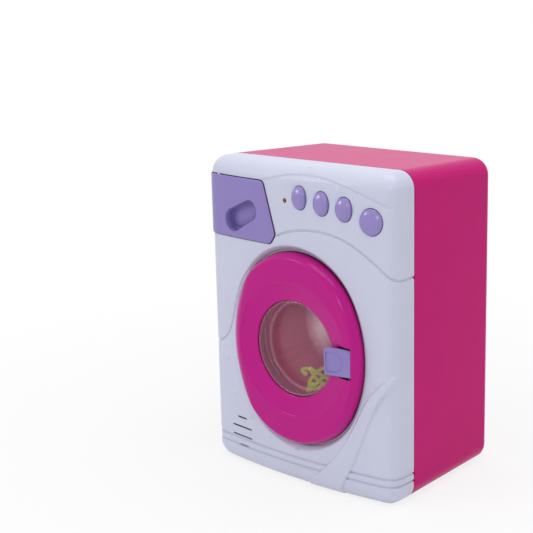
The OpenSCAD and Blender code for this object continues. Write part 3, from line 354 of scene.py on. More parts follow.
def lipDrop(distance, size):
    # how far a rounded edge lies below its face
    t = 1 - np.clip(distance / size, 0, 1)
    return size * (1 - np.sqrt(1 - t * t)) * 0.8


def throughPoints(points, steps):
    # a smooth open line through given points
    pts = [np.array(p, float) for p in points]
    line = []
    for i in range(len(pts) - 1):
        a, b, c, d = pts[max(i - 1, 0)], pts[i], pts[i + 1], pts[min(i + 2, len(pts) - 1)]
        for t in np.arange(steps) / steps:
            bend = (2 * a - 5 * b + 4 * c - d) * t * t + (3 * b - a - 3 * c + d) * t**3
            line.append(0.5 * (2 * b + (c - a) * t + bend))
    return np.array(line + [pts[-1]])


def besideLine(line, offset):
    along = np.gradient(line, axis=0)
    across = np.stack([-along[:, 1], along[:, 0]], 1)
    return line + across / np.linalg.norm(across, axis=1)[:, None] * offset


def lineDistance(points, line, closed=False):
    ends = np.roll(line, -1, 0) if closed else line[1:]
    starts = line if closed else line[:-1]
    best = np.full(len(points), 1e9)
    for a, b in zip(starts, ends):
        run = b - a
        t = np.clip(((points - a) @ run) / max(run @ run, 1e-12), 0, 1)
        best = np.minimum(best, np.linalg.norm(points - a - t[:, None] * run, axis=1))
    return best


def insideLoop(points, loop):
    hit = np.zeros(len(points), bool)
    for (x0, y0), (x1, y1) in zip(loop, np.roll(loop, -1, 0)):
        if y0 != y1:
            hit ^= ((y0 > points[:, 1]) != (y1 > points[:, 1])) & (
                points[:, 0] < (x1 - x0) * (points[:, 1] - y0) / (y1 - y0) + x0)
    return hit


def lipAlong(points, loop, size):
    return lipDrop(lineDistance(points, loop, True), size)


def depthInside(points, loop):
    # how far inside a closed line, negative outside it
    edge = lineDistance(points, loop, True)
    return np.where(insideLoop(points, loop), edge, -edge)


def arc(middle, radius, start, end, count, endpoint=True):
    # points round a middle, between two angles in degrees
    a = np.radians(np.linspace(start, end, count, endpoint=endpoint))
    return np.stack([middle[0] + radius * np.cos(a), middle[1] + radius * np.sin(a)], 1)


def circle(middle, radius, count):
    return arc(middle, radius, 0, 360, count, False)


def ovalFlank(a, b, tip):
    # the radius of an oval's long arcs, and where they meet its end arcs
    flank = (a * a + (b - tip) ** 2 - tip * tip) / (2 * (a - tip))
    return flank, math.atan2(b - tip, flank - a)


def ovalLoop(middle, a, b, tip, grow=0.0, count=120):
    # an oval of four arcs with a point for every direction
    flank, turn = ovalFlank(a, b, tip)
    pts = []
    for i in range(count):
        angle = 2 * math.pi * i / count
        c, s = math.cos(angle), math.sin(angle)
        if abs(s) <= math.sin(turn):
            pts.append((math.copysign(1, c) * (a - flank) + (flank + grow) * c, (flank + grow) * s))
        else:
            pts.append(((tip + grow) * c, math.copysign(b - tip, s) + (tip + grow) * s))
    return np.array(pts) + np.array(middle)


def roundLoop(middle, radius, count, long=1.0001, tip=0.9999):
    # as good as a circle, and uneven enough for a steady triangulation
    return ovalLoop(middle, radius, radius * long, radius * tip, 0, count)


def ovalDistance(points, middle, a, b, tip):
    flank, turn = ovalFlank(a, b, tip)
    q = np.abs(points - np.array(middle))
    toFlank = q - np.array([a - flank, 0])
    toTip = q - np.array([0, b - tip])
    onFlank = np.arctan2(toFlank[:, 1], toFlank[:, 0]) <= turn
    return np.where(onFlank, np.linalg.norm(toFlank, axis=1) - flank, np.linalg.norm(toTip, axis=1) - tip)


def roundedLoop(corners, radii, grow=0.0, steps=8, longest=4.0):
    # a polygon, counter-clockwise, with rounded corners, grown outwards
    pts = [np.array(c, float) for c in corners]
    lines = []
    for a, b in zip(pts, pts[1:] + pts[:1]):
        d = (b - a) / np.linalg.norm(b - a)
        lines.append((a + np.array([d[1], -d[0]]) * grow, d))
    loop = []
    for i, radius in enumerate(radii):
        (p0, d0), (p1, d1) = lines[i - 1], lines[i]
        t = np.linalg.solve(np.array([d0, -d1]).T, p1 - p0)
        corner = p0 + d0 * t[0]
        radius += grow
        turn = math.acos(max(-1, min(1, float(d0 @ d1))))
        if radius < 1e-6 or turn < 1e-6:
            loop.append(corner)
            continue
        middle = corner - d0 * radius * math.tan(turn / 2) + np.array([-d0[1], d0[0]]) * radius
        start = math.degrees(math.atan2(-d0[0], d0[1]))
        loop += list(arc(middle, radius, start, start + math.degrees(turn), steps + 1))
    dense = []
    for a, b in zip(loop, loop[1:] + loop[:1]):
        parts = max(1, int(np.linalg.norm(b - a) / longest))
        dense += [a + (b - a) * j / parts for j in range(parts)]
    return np.array(dense)


def boxLoop(x0, x1, z0, z1, radii, grow=0.0, steps=8, longest=4.0):
    return roundedLoop([(x0, z0), (x1, z0), (x1, z1), (x0, z1)], radii, grow, steps, longest)


def gridPoints(low, high, spacing):
    xs = np.arange(low[0], high[0], spacing)
    zs = np.arange(low[1], high[1], spacing * 0.866)
    return np.array([(x + (spacing / 2 if row % 2 else 0), z) for row, z in enumerate(zs) for x in xs])


def addSheet(mesh, boundary, holes, runs, guides, loose, surface):
    # a triangulated skin over a flat plan, along open runs and closed guides, lifted to its shape by surface()
    points, edges = [], []
    for line in [boundary] + holes + runs + guides:
        start, count = len(points), len(line)
        points.extend(Vector(p) for p in line)
        edges.extend((start + i, start + i + 1) for i in range(count - 1))
        if not any(line is run for run in runs):
            edges.append((start + count - 1, start))
    points.extend(Vector(p) for p in loose)
    flat, _, faces, _, _, _ = delaunay_2d_cdt(points, edges, [], 0, 1e-5)
    flat = np.array([tuple(v) for v in flat])
    faces = [f for f in faces if len(f) == 3]
    centres = flat[np.array(faces)].mean(1)
    keep = insideLoop(centres, boundary)
    for hole in holes:
        keep &= ~insideLoop(centres, hole)
    faces = [f for f, kept in zip(faces, keep) if kept]
    used = sorted({i for f in faces for i in f})
    verts = {i: mesh.verts.new(p) for i, p in zip(used, surface(flat[used]))}
    for f in faces:
        mesh.faces.new([verts[i] for i in f])


def joinClose(mesh):
    bmesh.ops.remove_doubles(mesh, verts=mesh.verts, dist=0.0005)


def addObject(name, data):
    obj = bpy.data.objects.new(name, data)
    bpy.context.scene.collection.objects.link(obj)
    return obj


def addMesh(name, mesh):
    data = bpy.data.meshes.new(name)
    mesh.to_mesh(data)
    mesh.free()
    return addObject(name, data)


def posed(at, turns, axes):
    # a place, and turns about its own axes, one after another
    whole = Matrix.Translation(at)
    for turn, axis in zip(turns, axes):
        whole = whole @ Matrix.Rotation(math.radians(turn), 4, axis)
    return whole


def finishPiece(name, mesh, look, body, replaced, sharp=34):
    # millimetres to metres, then shading, finish, and the body that the piece rides on
    joinClose(mesh)
    for v in mesh.verts:
        v.co = place(*v.co)
    obj = addMesh(name, mesh)
    obj.data.shade_smooth()
    obj.data.set_sharp_from_angle(angle=math.radians(sharp))
    obj.data.materials.append(looks[look])
    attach(obj, body)
    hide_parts(replaced)
    print(name, "made:", len(obj.data.polygons), "faces")


def thicken(mesh, amount):
    # a skin becomes a wall, grown to the back of its faces
    joinClose(mesh)
    obj = addMesh("skin", mesh)
    wall = obj.modifiers.new("wall", "SOLIDIFY")
    wall.thickness = amount
    wall.offset = -1
    wall.use_even_offset = True
    graph = bpy.context.evaluated_depsgraph_get()
    baked = bpy.data.meshes.new_from_object(obj.evaluated_get(graph))
    # a back corner that a sliver has thrown to the wrong side goes where its neighbours go
    skin = obj.data
    count = len(skin.vertices)
    points = np.array([v.co for v in baked.vertices])
    steps = points[count:2 * count] - points[:count]
    around = np.zeros_like(steps)
    for edge in skin.edges:
        a, b = edge.vertices
        around[a] += steps[b]
        around[b] += steps[a]
    for i in np.flatnonzero((steps * around).sum(axis=1) < 0):
        baked.vertices[i + count].co = Vector(points[i]) + Vector(around[i]).normalized() * amount
    solid = bmesh.new()
    solid.from_mesh(baked)
    bpy.data.objects.remove(obj)
    bpy.data.meshes.remove(skin)
    bpy.data.meshes.remove(baked)
    return solid


def addTurned(mesh, middle, profile, steps=144):
    # an open profile of (radius, y) turned about a line along y
    rings = []
    for c, s in circle((0, 0), 1, steps):
        rings.append([mesh.verts.new((middle[0] + r * c, y, middle[1] + r * s)) for r, y in profile])
    for a, b in zip(rings, rings[1:] + rings[:1]):
        for j in range(len(profile) - 1):
            quad = [a[j], b[j], b[j + 1], a[j + 1]]
            if profile[j][0] < 1e-6:
                quad.pop(1)
            elif profile[j + 1][0] < 1e-6:
                quad.pop(2)
            mesh.faces.new(quad)


def addBlock(mesh, x0, x1, y0, y1, z0, z1, bevel=0.4):
    low, high = Vector((x0, y0, z0)), Vector((x1, y1, z1))
    made = bmesh.ops.create_cube(mesh, size=1)["verts"]
    for v in made:
        v.co = (low + high) / 2 + v.co * (high - low)
    bmesh.ops.bevel(mesh, geom=list({e for v in made for e in v.link_edges}), offset=bevel, segments=2,
                    affect="EDGES")


def addPrism(mesh, plan, low, high):
    # a plan of (x, y) corners raised from low to high
    face = mesh.faces.new([mesh.verts.new((x, y, low)) for x, y in plan])
    for v in bmesh.ops.extrude_face_region(mesh, geom=[face])["geom"]:
        if isinstance(v, bmesh.types.BMVert):
            v.co.z = high


def addRod(mesh, start, end, radius, steps=32, bevel=0.3):
    start, end = Vector(start), Vector(end)
    turn = (end - start).to_track_quat("Z", "Y").to_matrix().to_4x4()
    made = bmesh.ops.create_cone(mesh, cap_ends=True, segments=steps, radius1=radius, radius2=radius,
                                 depth=(end - start).length,
                                 matrix=Matrix.Translation((start + end) / 2) @ turn)["verts"]
    if bevel:
        caps = {e for v in made for e in v.link_edges if any(len(f.verts) > 4 for f in e.link_faces)}
        bmesh.ops.bevel(mesh, geom=list(caps), offset=bevel, segments=2, affect="EDGES")


def addTube(mesh, path, radius, sides):
    # a round bar along a smooth open line
    path = np.asarray(path, float)
    along = np.gradient(path, axis=0)
    along /= np.linalg.norm(along, axis=1)[:, None]
    across = np.cross(along[0], [0.31, 0.87, 0.38])  # any way that no bar here runs
    rings = []
    for point, way in zip(path, along):
        across = across - way * (across @ way)
        across /= np.linalg.norm(across)
        other = np.cross(way, across)
        rings.append([mesh.verts.new(point + c * across + s * other)
                      for c, s in circle((0, 0), radius, sides)])
    for a, b in zip(rings, rings[1:]):
        for j in range(sides):
            mesh.faces.new([a[j], a[(j + 1) % sides], b[(j + 1) % sides], b[j]])
    mesh.faces.new(rings[0][::-1])
    mesh.faces.new(rings[-1])


def openEdges(mesh, test=lambda co: True):
    return [e for e in mesh.edges if e.is_boundary and all(test(v.co) for v in e.verts)]


def pullEdge(mesh, edges, depth):
    # walls drawn back from open edges, each corner to depth(corner)
    grown = bmesh.ops.extrude_edge_only(mesh, edges=edges)["geom"]
    verts = [v for v in grown if isinstance(v, bmesh.types.BMVert)]
    for v in verts:
        v.co.y = depth(v.co)
    return verts


def faceForward(mesh):
    joinClose(mesh)
    bmesh.ops.recalc_face_normals(mesh, faces=mesh.faces)
    front = min(mesh.faces, key=lambda f: f.calc_center_median().y)
    if front.normal.y > 0:
        bmesh.ops.reverse_faces(mesh, faces=mesh.faces)


def closeBack(mesh, depth):
    # the open rim of a solid front is drawn back and filled
    verts = pullEdge(mesh, openEdges(mesh), depth)
    loop = {e for v in verts for e in v.link_edges if e.is_boundary}
    bmesh.ops.triangle_fill(mesh, use_beauty=True, edges=list(loop))
    faceForward(mesh)


def orderedLoop(verts):
    # the verts of one closed run of boundary edges, in order, counter-clockwise in plan
    among = set(verts)
    chain = [verts[0]]
    while True:
        here = chain[-1]
        beside = [e.other_vert(here) for e in here.link_edges if e.other_vert(here) in among and e.is_boundary]
        step = [v for v in beside if v not in chain[-2:] and (v is not chain[0] or len(chain) > 2)]
        if not step or step[0] is chain[0]:
            break
        chain.append(step[0])
    area = sum(a.co.x * b.co.z - b.co.x * a.co.z for a, b in zip(chain, chain[1:] + chain[:1]))
    return chain if area > 0 else chain[::-1]


shell = {"halfWidth": 91.65, "height": 250.0, "bow": 8.0, "corner": 12.8, "edge": 12.0, "depth": 22.9,
         "wall": 2.2, "sideRun": 10.9, "ringStep": 1.571, "lip": 0.4, "bubble": 1.1, "slit": 0.6}
groove = {"depth": 1.45, "half": 1.25, "flat": 0.15, "upperShare": 0.6, "upperEnd": (84, 90), "longest": 96,
          "beside": (-1.0, -0.62, -0.3, 0, 0.3, 0.62, 1.0)}
ribbon = {"height": 1.7, "climb": (0.75, 1.2), "climbAt": (62, 98), "upper": (1.4, 1.5), "softAt": (66, 96),
          "lower": 0.9, "end": (88.5, 91.2)}
recess = {"grow": 0.8, "seat": -3.0, "bevelFrom": (1.2, -4.0), "slope": 1.15, "soft": 0.7, "reach": 16,
          "halfWidth": 80, "collarEnd": 10.0, "hingeSlot": (-48.8, 30),
          "hookSlot": (57.4, 64.2, 99.25, 119.75)}
door = {"middle": (4.0, 112.0), "oval": ((3.0, 109.6), 63.9, 75.9, 60.0), "glass": (4.0, 110.6), "mouth": 47.0}
hinge = {"at": (-54.0, -6.4), "armsAt": (100.7, 119.3), "armHeight": 4.0, "armRadius": 2.2,
         "barrelRadius": 2.3, "barrelHalf": 7.0,
         "arm": [(0, -2), (4, -1.8), (9.4, 1.8), (9.4, 4.4), (5.6, 4.4), (5.6, 2.3), (0, 2)]}
coreX = shell["halfWidth"] - shell["corner"]
coreLow, coreHigh = shell["corner"], shell["height"] - shell["corner"]
bowRadius = shell["halfWidth"] ** 2 / (2 * shell["bow"]) + shell["bow"] / 2
bowCentre = bowRadius - shell["bow"]
innerBow = bowRadius - shell["edge"]
sideMiddle = shell["halfWidth"] - shell["edge"]
sideY = bowCentre - math.sqrt(innerBow**2 - sideMiddle**2)
flatRim = shell["corner"] - shell["edge"]
rolled = flatRim + shell["edge"] * math.pi / 2


def bowY(x):
    return bowCentre - np.sqrt(bowRadius**2 - np.square(x))


def fromCore(points):
    # the nearest spot of the shell's flat middle, the way out from it, and how far
    core = np.stack([np.clip(points[:, 0], -coreX, coreX), np.clip(points[:, 1], coreLow, coreHigh)], 1)
    far = np.linalg.norm(points - core, axis=1)
    return core, (points - core) / np.maximum(far, 1e-9)[:, None], far


def shellPoint(st):
    # from the unrolled plan of the shell to its skin, round its edges and back along its sides
    edge = shell["edge"]
    core, way, far = fromCore(st)
    theta = np.clip((far - flatRim) / edge, 0, math.pi / 2)
    out = np.minimum(far, flatRim) + edge * np.sin(theta)
    x, z = (core + way * out[:, None]).T
    across = coreX + out
    bent = sideY - np.sqrt(np.maximum(edge**2 - (across - sideMiddle) ** 2, 0))
    tangentX = sideMiddle * bowRadius / innerBow
    ySide = np.where(across <= tangentX, bowY(np.minimum(across, tangentX)), bent)
    drop = np.maximum(out - flatRim, 0)
    reach = innerBow + np.sqrt(np.maximum(edge**2 - drop**2, 0))
    yTop = bowCentre - np.sqrt(reach**2 - x**2)
    weight = way[:, 0] ** 2
    y = weight * ySide + (1 - weight) * yTop
    y += np.maximum(far - rolled, 0) / shell["sideRun"] * (shell["depth"] - y)
    return np.stack([x, y, z], 1)


def shellNormal(st, step=0.05):
    a = shellPoint(st + [step, 0]) - shellPoint(st - [step, 0])
    b = shellPoint(st + [0, step]) - shellPoint(st - [0, step])
    n = np.cross(a, b)
    return n / np.linalg.norm(n, axis=1)[:, None]


def unroll(points):
    # from a plain front view to the unrolled plan
    core, way, far = fromCore(np.asarray(points, float))
    over = np.clip((far - flatRim) / shell["edge"], 0, 1)
    return core + way * (np.minimum(far, flatRim) + shell["edge"] * np.arcsin(over))[:, None]


def shares(points):
    return np.array([(x * shell["halfWidth"], z * shell["height"]) for x, z in points])


def footLine(z):
    return np.array([(x, z) for x in np.linspace(-groove["longest"], groove["longest"], 65)])


grooveLines = {
    "upper": throughPoints(shares([
        (-0.3382, 0.9432), (-0.024, 0.9716), (0.2935, 0.9748), (0.5619, 0.9552), (0.8238, 0.9232),
        (0.9798, 0.9016), (1.0475, 0.897)]), 12),
    "lower": throughPoints(shares([
        (-0.1964, 0.7784), (0.0131, 0.804), (0.1877, 0.8136), (0.3819, 0.812), (0.5881, 0.7916),
        (0.8205, 0.7406), (0.9602, 0.7002), (1.0584, 0.682)]), 12),
    "left": throughPoints(shares([
        (-0.4419, 0.676), (-0.5619, 0.626), (-0.6438, 0.564), (-0.7223, 0.4768), (-0.7943, 0.428),
        (-0.91, 0.3992), (-1.0584, 0.39)]), 12),
    "footHigh": footLine(22.2),
    "footLow": footLine(16.3),
}
ribbonUpper = throughPoints(shares([
    (1.0693, 0.4184), (0.9656, 0.4108), (0.8478, 0.376), (0.7267, 0.3168), (0.623, 0.2372), (0.4746, 0.1464),
    (0.3295, 0.086), (0.1779, 0.032), (0.0873, -0.004)]), 10)
ribbonLower = throughPoints(shares([
    (0.4692, -0.004), (0.5281, 0.0524), (0.6274, 0.1216), (0.731, 0.2164), (0.8249, 0.3004), (0.8773, 0.3344),
    (0.9427, 0.364), (1.0693, 0.3952)]), 10)
ribbonLoop = np.concatenate([ribbonUpper, ribbonLower])
bubbles = [(-74.2, 87.9, 3.6), (-66.0, 60.3, 4.2), (-47.3, 44.6, 3.4), (3.5, 27.9, 3.2)]  # x, z, radius
drawerCorners = [(-100, 188.8), (-19.85, 188.8), (-14.35, 196.3), (-26.3, 236.6), (-100, 236.6)]
drawerMiddle = (-78, 213)
buttonSpots = [(10.4, 227.2), (30.6, 224.8), (50.5, 222.5), (73.0, 215.4)]
buttonSizes = [(6.1, 8.9, 5.3), (6.4, 9.0, 5.6), (6.6, 9.0, 5.8), (9.0, 9.8, 8.2)]
lightSpot = (-4.2, 223.9)
slits = [(-57.9, 40.2, 5.3), (-57.9, 32.2, 11.2), (-57.9, 24.5, 11.3), (-57.9, 16.7, 5.4)]  # x, z, half length


def sideRun(line):
    # a line that leaves the front over a side edge goes straight back along the side
    halfWidth = shell["halfWidth"]
    on = line[np.abs(line[:, 0]) < halfWidth]

    def along(end, last):
        if abs(end[0]) <= halfWidth:
            return np.zeros((0, 2))
        edge = unroll([(math.copysign(halfWidth, end[0]), last[1])])[0]
        steps = (0, 3.6, 7.2, shell["sideRun"] + 1)
        return np.array([(edge[0] + math.copysign(d, end[0]), edge[1]) for d in steps])

    return np.concatenate([along(line[0], on[0])[::-1], unroll(on), along(line[-1], on[-1])])


def drawerLoop(grow, back):
    # the drawer's outline, round the left corner of the shell, to the plan
    loop = roundedLoop(drawerCorners, [0.0, 4.0, 4.0, 4.0, 0.0], grow, 8, 3.0)
    front = loop[loop[:, 0] > -shell["halfWidth"] + 0.05]
    front = front[np.argsort([math.atan2(z - drawerMiddle[1], x - drawerMiddle[0]) for x, z in front])]
    front = unroll(front)
    low, high = front[0], front[-1]
    edge = -coreX - rolled
    fan = max(high[1] - coreHigh, 0) / max(-coreX - high[0], 1)  # above the core the plan spreads like a fan
    tops = [coreHigh + fan * (rolled + run) if fan else high[1] for run in (0, back)]
    spread = [(edge - back, z) for z in np.linspace(high[1] - 3, low[1] + 3, 14)]
    return np.concatenate([front, [(edge, tops[0]), (edge - back, tops[1])], spread,
                           [(edge - back, low[1]), (edge, low[1])]])


def ribbonRise(xz):
    x, z = xz.T
    inside = np.where(insideLoop(xz, ribbonLoop), 1.0, 0.0)
    reach, more = ribbon["upper"]
    upperWay = smooth(0.0, 1.0, lineDistance(xz, ribbonUpper) / (reach + more * smooth(*ribbon["softAt"], z)))
    lowerWay = smooth(0.0, ribbon["lower"], lineDistance(xz, ribbonLower))
    low, more = ribbon["climb"]
    climb = ribbon["height"] * (low + more * smooth(*ribbon["climbAt"], z))
    return inside * upperWay * lowerWay * climb * (1 - smooth(*ribbon["end"], x))


shellHoles = [lambda g: drawerLoop(0.5 + g, 2.0 + g),
              lambda g: unroll(ovalLoop(lightSpot, 1.65, 1.66, 1.6, g, 24))]
for spot, size in zip(buttonSpots, buttonSizes):
    shellHoles.append(lambda g, spot=spot, size=size: unroll(ovalLoop(spot, *size, 0.35 + g, 56)))
for x, z, half in slits:
    box = (x - half, x + half, z - shell["slit"], z + shell["slit"], [shell["slit"] - 0.01] * 4)
    shellHoles.append(lambda g, box=box: unroll(boxLoop(*box, g, 5, 2.5)))


def shellSurface(st):
    p = shellPoint(st)
    n = shellNormal(st)
    xz = p[:, [0, 2]]
    deep = np.zeros(len(p))
    for name, line in grooveLines.items():
        part = groove["depth"] * (1 - smooth(groove["flat"], groove["half"], lineDistance(xz, line)))
        if name == "upper":
            part *= groove["upperShare"] * (1 - smooth(*groove["upperEnd"], xz[:, 0]))
        deep = np.maximum(deep, part)
    deep *= 1 - insideLoop(xz, roundedLoop(drawerCorners, [4] * 5, 2.0))
    rise = ribbonRise(xz)
    deep *= 1 - np.clip(rise / ribbon["height"] * 4, 0, 1)
    for x, z, r in bubbles:
        deep -= shell["bubble"] * (1 - smooth(0.45 * r, r, np.linalg.norm(xz - [x, z], axis=1)))
    for hole in shellHoles:
        deep += lipAlong(st, hole(0.0), shell["lip"])
    p -= n * deep[:, None]
    p[:, 1] -= rise
    around = ovalDistance(xz, *door["oval"])
    start, y = recess["bevelFrom"]
    bevel = y - (around - start) * recess["slope"]
    near = (around < recess["reach"]) & (np.abs(xz[:, 0]) < recess["halfWidth"])
    p[near, 1] = softMax(p[near, 1], bevel[near], recess["soft"])
    return p


def coreLoop(grow, steps, longest):
    return boxLoop(-coreX, coreX, coreLow, coreHigh, [0.0001] * 4, grow, steps, longest)


def aroundDoor(grow):
    return ovalLoop(*door["oval"], grow, 168)


def makeShell():
    mesh = bmesh.new()
    loose = [gridPoints((-coreX, coreLow), (coreX, coreHigh), 4.2)]
    turns = [flatRim + shell["ringStep"] * i for i in range(1, 13)]
    loose += [coreLoop(grow, 12, 4.4) for grow in turns + [rolled + 3.6, rolled + 7.2]]
    runs = [besideLine(line, d) for line in grooveLines.values() for d in groove["beside"]]
    runs += [besideLine(ribbonUpper, d) for d in (0, 0.4, 0.85, 1.3, 1.8)]
    runs += [besideLine(ribbonLower, d) for d in (0, 0.35, 0.7, 1.05)]
    runs = [sideRun(line) for line in runs]
    guides = []
    for x, z, r in bubbles:
        for share in (0.25, 0.45, 0.6, 0.75, 0.88, 1.0):
            guides.append(unroll(roundLoop((x, z), r * share, 28, 1.001, 0.999)))
    for grow in (1.5, 2.0, 2.5, 3.0, 3.5, 4.0, 4.5, 5.0, 5.7, 7.0, 9.0):
        guides.append(unroll(aroundDoor(grow)))
    guides += [hole(grow) for hole in shellHoles for grow in (0.13, shell["lip"])]
    holes = [unroll(aroundDoor(recess["grow"]))] + [hole(0.0) for hole in shellHoles]
    boundary = coreLoop(rolled + shell["sideRun"], 14, 5.0)
    addSheet(mesh, boundary, holes, runs, guides, np.concatenate(loose), shellSurface)
    # the recess: down its wall, over its floor with the hinge's and the hook's slot, back along the mouth
    beyond = lambda co: ovalDistance(np.array([[co.x, co.z]]), *door["oval"])[0]
    rim = openEdges(mesh, lambda co: beyond(co) < recess["grow"] + 0.5)
    chain = orderedLoop(pullEdge(mesh, rim, lambda co: recess["seat"]))
    plan = np.array([(v.co.x, v.co.z) for v in chain])
    x, half = recess["hingeSlot"]
    slot = aroundDoor(0.6)
    slot = slot[(slot[:, 0] < x) & (np.abs(slot[:, 1] - door["middle"][1]) < half)]
    slot = np.concatenate([slot, [(x, slot[-1][1]), (x, slot[0][1])]])
    x0, x1, z0, z1 = recess["hookSlot"]
    hook = np.array([(x0, z0), (x1, z0), (x1, z1), (x0, z1)])
    addSheet(mesh, plan, [circle(door["middle"], door["mouth"], 144), slot, hook], [], [], [],
             lambda pts: np.insert(pts, 1, recess["seat"], axis=1))
    joinClose(mesh)
    fromMouth = lambda co: abs(math.hypot(co.x - door["middle"][0], co.z - door["middle"][1]) - door["mouth"])
    pullEdge(mesh, openEdges(mesh, lambda co: fromMouth(co) < 0.02), lambda co: recess["collarEnd"])
    faceForward(mesh)
    mesh = thicken(mesh, shell["wall"])
    x, y = hinge["at"]
    for low in hinge["armsAt"]:
        addRod(mesh, (x, y, low), (x, y, low + hinge["armHeight"]), hinge["armRadius"])
        addPrism(mesh, [(x + dx, y + dy) for dx, dy in hinge["arm"]], low, low + hinge["armHeight"])
    return mesh


finishPiece("frontShell", makeShell(), "shellWhite", "housing", "front_panel")

ring = {"front": -13.5, "rim": 7.5, "hingeRim": 5.5, "hingeSide": (-56, -36), "rimDeep": 11.58, "wall": 2.2,
        "bead": 1.1, "beadAt": 3.9, "beadHalf": 1.8, "step": 0.4, "stepAt": 52.4, "dish": 4.0, "window": 37.6,
        "tubeEnd": -4.2, "slot": (48.9, 61.2, 97.7, 121.8), "lip": 0.35, "ears": (94.95, 122.05),
        "earX": (53.2, 60.2), "earWall": 2.0, "bossRadius": 2.4, "bossCircle": 43.35, "bossEnd": -2.7}


def latchSlot(grow):
    return boxLoop(*ring["slot"], [0.6] * 4, grow, 5, 3.0)


def ringSurface(xz):
    inner = -ovalDistance(xz, *door["oval"])
    # the hinge side rounds off further in, so that it clears the recess when the door is open
    hingeSide = 1 - smooth(*ring["hingeSide"], xz[:, 0])
    t = 1 - np.clip(inner / (ring["rim"] + ring["hingeRim"] * hingeSide), 0, 1)
    y = ring["front"] + ring["rimDeep"] * (1 - np.sqrt(1 - t * t))
    beaded = np.exp(-(((inner - ring["beadAt"]) / ring["beadHalf"]) ** 2)) * smooth(0.0, 2.0, inner)
    y -= ring["bead"] * (1 - hingeSide) * beaded
    r = np.linalg.norm(xz - np.array(door["glass"]), axis=1)
    y += ring["step"] * (1 - smooth(ring["stepAt"] - 0.35, ring["stepAt"] + 0.35, r))
    edge = ring["stepAt"] - 0.6
    y += (ring["dish"] - ring["step"] - 0.5) * np.clip((edge - r) / (edge - ring["window"]), 0, 1)
    y += lipDrop(np.maximum(r - ring["window"], 0), 0.8) * 0.8
    y += lipAlong(xz, latchSlot(0.0), ring["lip"])
    return np.stack([xz[:, 0], y, xz[:, 1]], 1)


def makeRing():
    mesh = bmesh.new()
    turns = np.radians((79, 73, 67, 61, 55, 49, 43, 36, 29, 22, 15, 7, 0))  # round the rim, outside in
    grows = [-ring["rim"] * (1 - math.sin(a)) for a in turns] + [-9.6, -11.8]
    guides = [aroundDoor(grow) for grow in grows] + [latchSlot(0.13), latchSlot(ring["lip"])]
    for r in (37.75, 38.0, 38.4, 40, 43, 46, 49, 51.6, 51.8, 52.05, 52.25, 52.4, 52.55, 52.75, 53.2):
        guides.append(roundLoop(door["glass"], r, 144))
    holes = [roundLoop(door["glass"], ring["window"], 168), latchSlot(0.0)]
    addSheet(mesh, aroundDoor(-0.053), holes, [], guides, gridPoints((-62, 36), (70, 188), 5.0), ringSurface)
    fromGlass = lambda co: math.hypot(co.x - door["glass"][0], co.z - door["glass"][1])
    edges = openEdges(mesh, lambda co: fromGlass(co) < ring["window"] + 0.02)
    pullEdge(mesh, edges, lambda co: ring["tubeEnd"])
    faceForward(mesh)
    mesh = thicken(mesh, ring["wall"])
    front = ring["front"]
    for x, z in arc(door["middle"], ring["bossCircle"], 45, 315, 4):
        addRod(mesh, (x, front + 3.8, z), (x, ring["bossEnd"], z), ring["bossRadius"])
    for low in ring["ears"]:
        addBlock(mesh, *ring["earX"], front + 1.6, ring["tubeEnd"], low, low + ring["earWall"])
    (x, y), middle, half = hinge["at"], door["middle"][1], hinge["barrelHalf"]
    addRod(mesh, (x, y, middle - half), (x, y, middle + half), hinge["barrelRadius"])
    addBlock(mesh, x - 1, x + 1, front + 2.5, y, middle - half + 0.2, middle + half - 0.2, 0.2)
    return mesh


finishPiece("doorRing", makeRing(), "ringMagenta", "door", "door_ring")

bowl = {"rim": -9.0, "flange": 39.9, "front": -4.1, "flangeBack": -2.7, "outer": 37.3, "deep": 4.0,
        "wall": 1.6, "corner": 3.0, "crown": 0.5, "rings": (0, 5, 10, 15, 20, 25, 29, 32)}


def makeBowl():
    flat, wall = bowl["outer"] - bowl["corner"], bowl["wall"]
    centre = (flat, bowl["deep"] - bowl["corner"])
    outer, flange, front, back, rim = (bowl[k] for k in ("outer", "flange", "front", "flangeBack", "rim"))
    crowned = lambda r, y: (r, y - bowl["crown"] * (1 - (r / flat) ** 2))
    profile = [crowned(r, bowl["deep"]) for r in bowl["rings"]]
    profile += list(arc(centre, bowl["corner"], 90, 0, 12))
    profile += [(outer, -1.0), (outer + 0.1, back), (flange - 0.3, back), (flange, back - 0.3),
                (flange, front + 0.3), (flange - 0.3, front), (outer, front), (outer, rim + 0.4),
                (outer - 0.4, rim), (outer - wall + 0.5, rim), (outer - wall, rim + 0.5)]
    profile += list(arc(centre, bowl["corner"] - wall, 0, 90, 12))
    profile += [crowned(r, bowl["deep"] - wall) for r in bowl["rings"][::-1]]
    mesh = bmesh.new()
    addTurned(mesh, door["glass"], profile, 160)
    joinClose(mesh)
    bmesh.ops.recalc_face_normals(mesh, faces=mesh.faces)
    return mesh


finishPiece("windowBowl", makeBowl(), "clear", "door", "door_window", 50)

latch = {"left": 38.3, "right": 61.0, "low": 98.9, "high": 120.5, "front": -17.6, "slope": 0.185, "thick": 2.6,
         "corner": 3.2, "bevel": 1.4, "lip": 0.35, "hollow": 0.9, "hollowMiddle": 47.3, "hollowRadius": 7.7,
         "hollowLeft": 40.6, "hollowCorner": 1.6, "pin": (56.7, -8.6), "eye": 3.1, "eyeLong": 4.5,
         "hook": (58.0, 60.0), "hookHeights": (100.25, 118.75), "hookBack": 1.8}
latchMiddle = (latch["low"] + latch["high"]) / 2


def padLoop(grow):
    radii = [latch["corner"], 0.4, 0.4, latch["corner"]]
    return boxLoop(latch["left"], latch["right"], latch["low"], latch["high"], radii, grow, 8, 1.4)


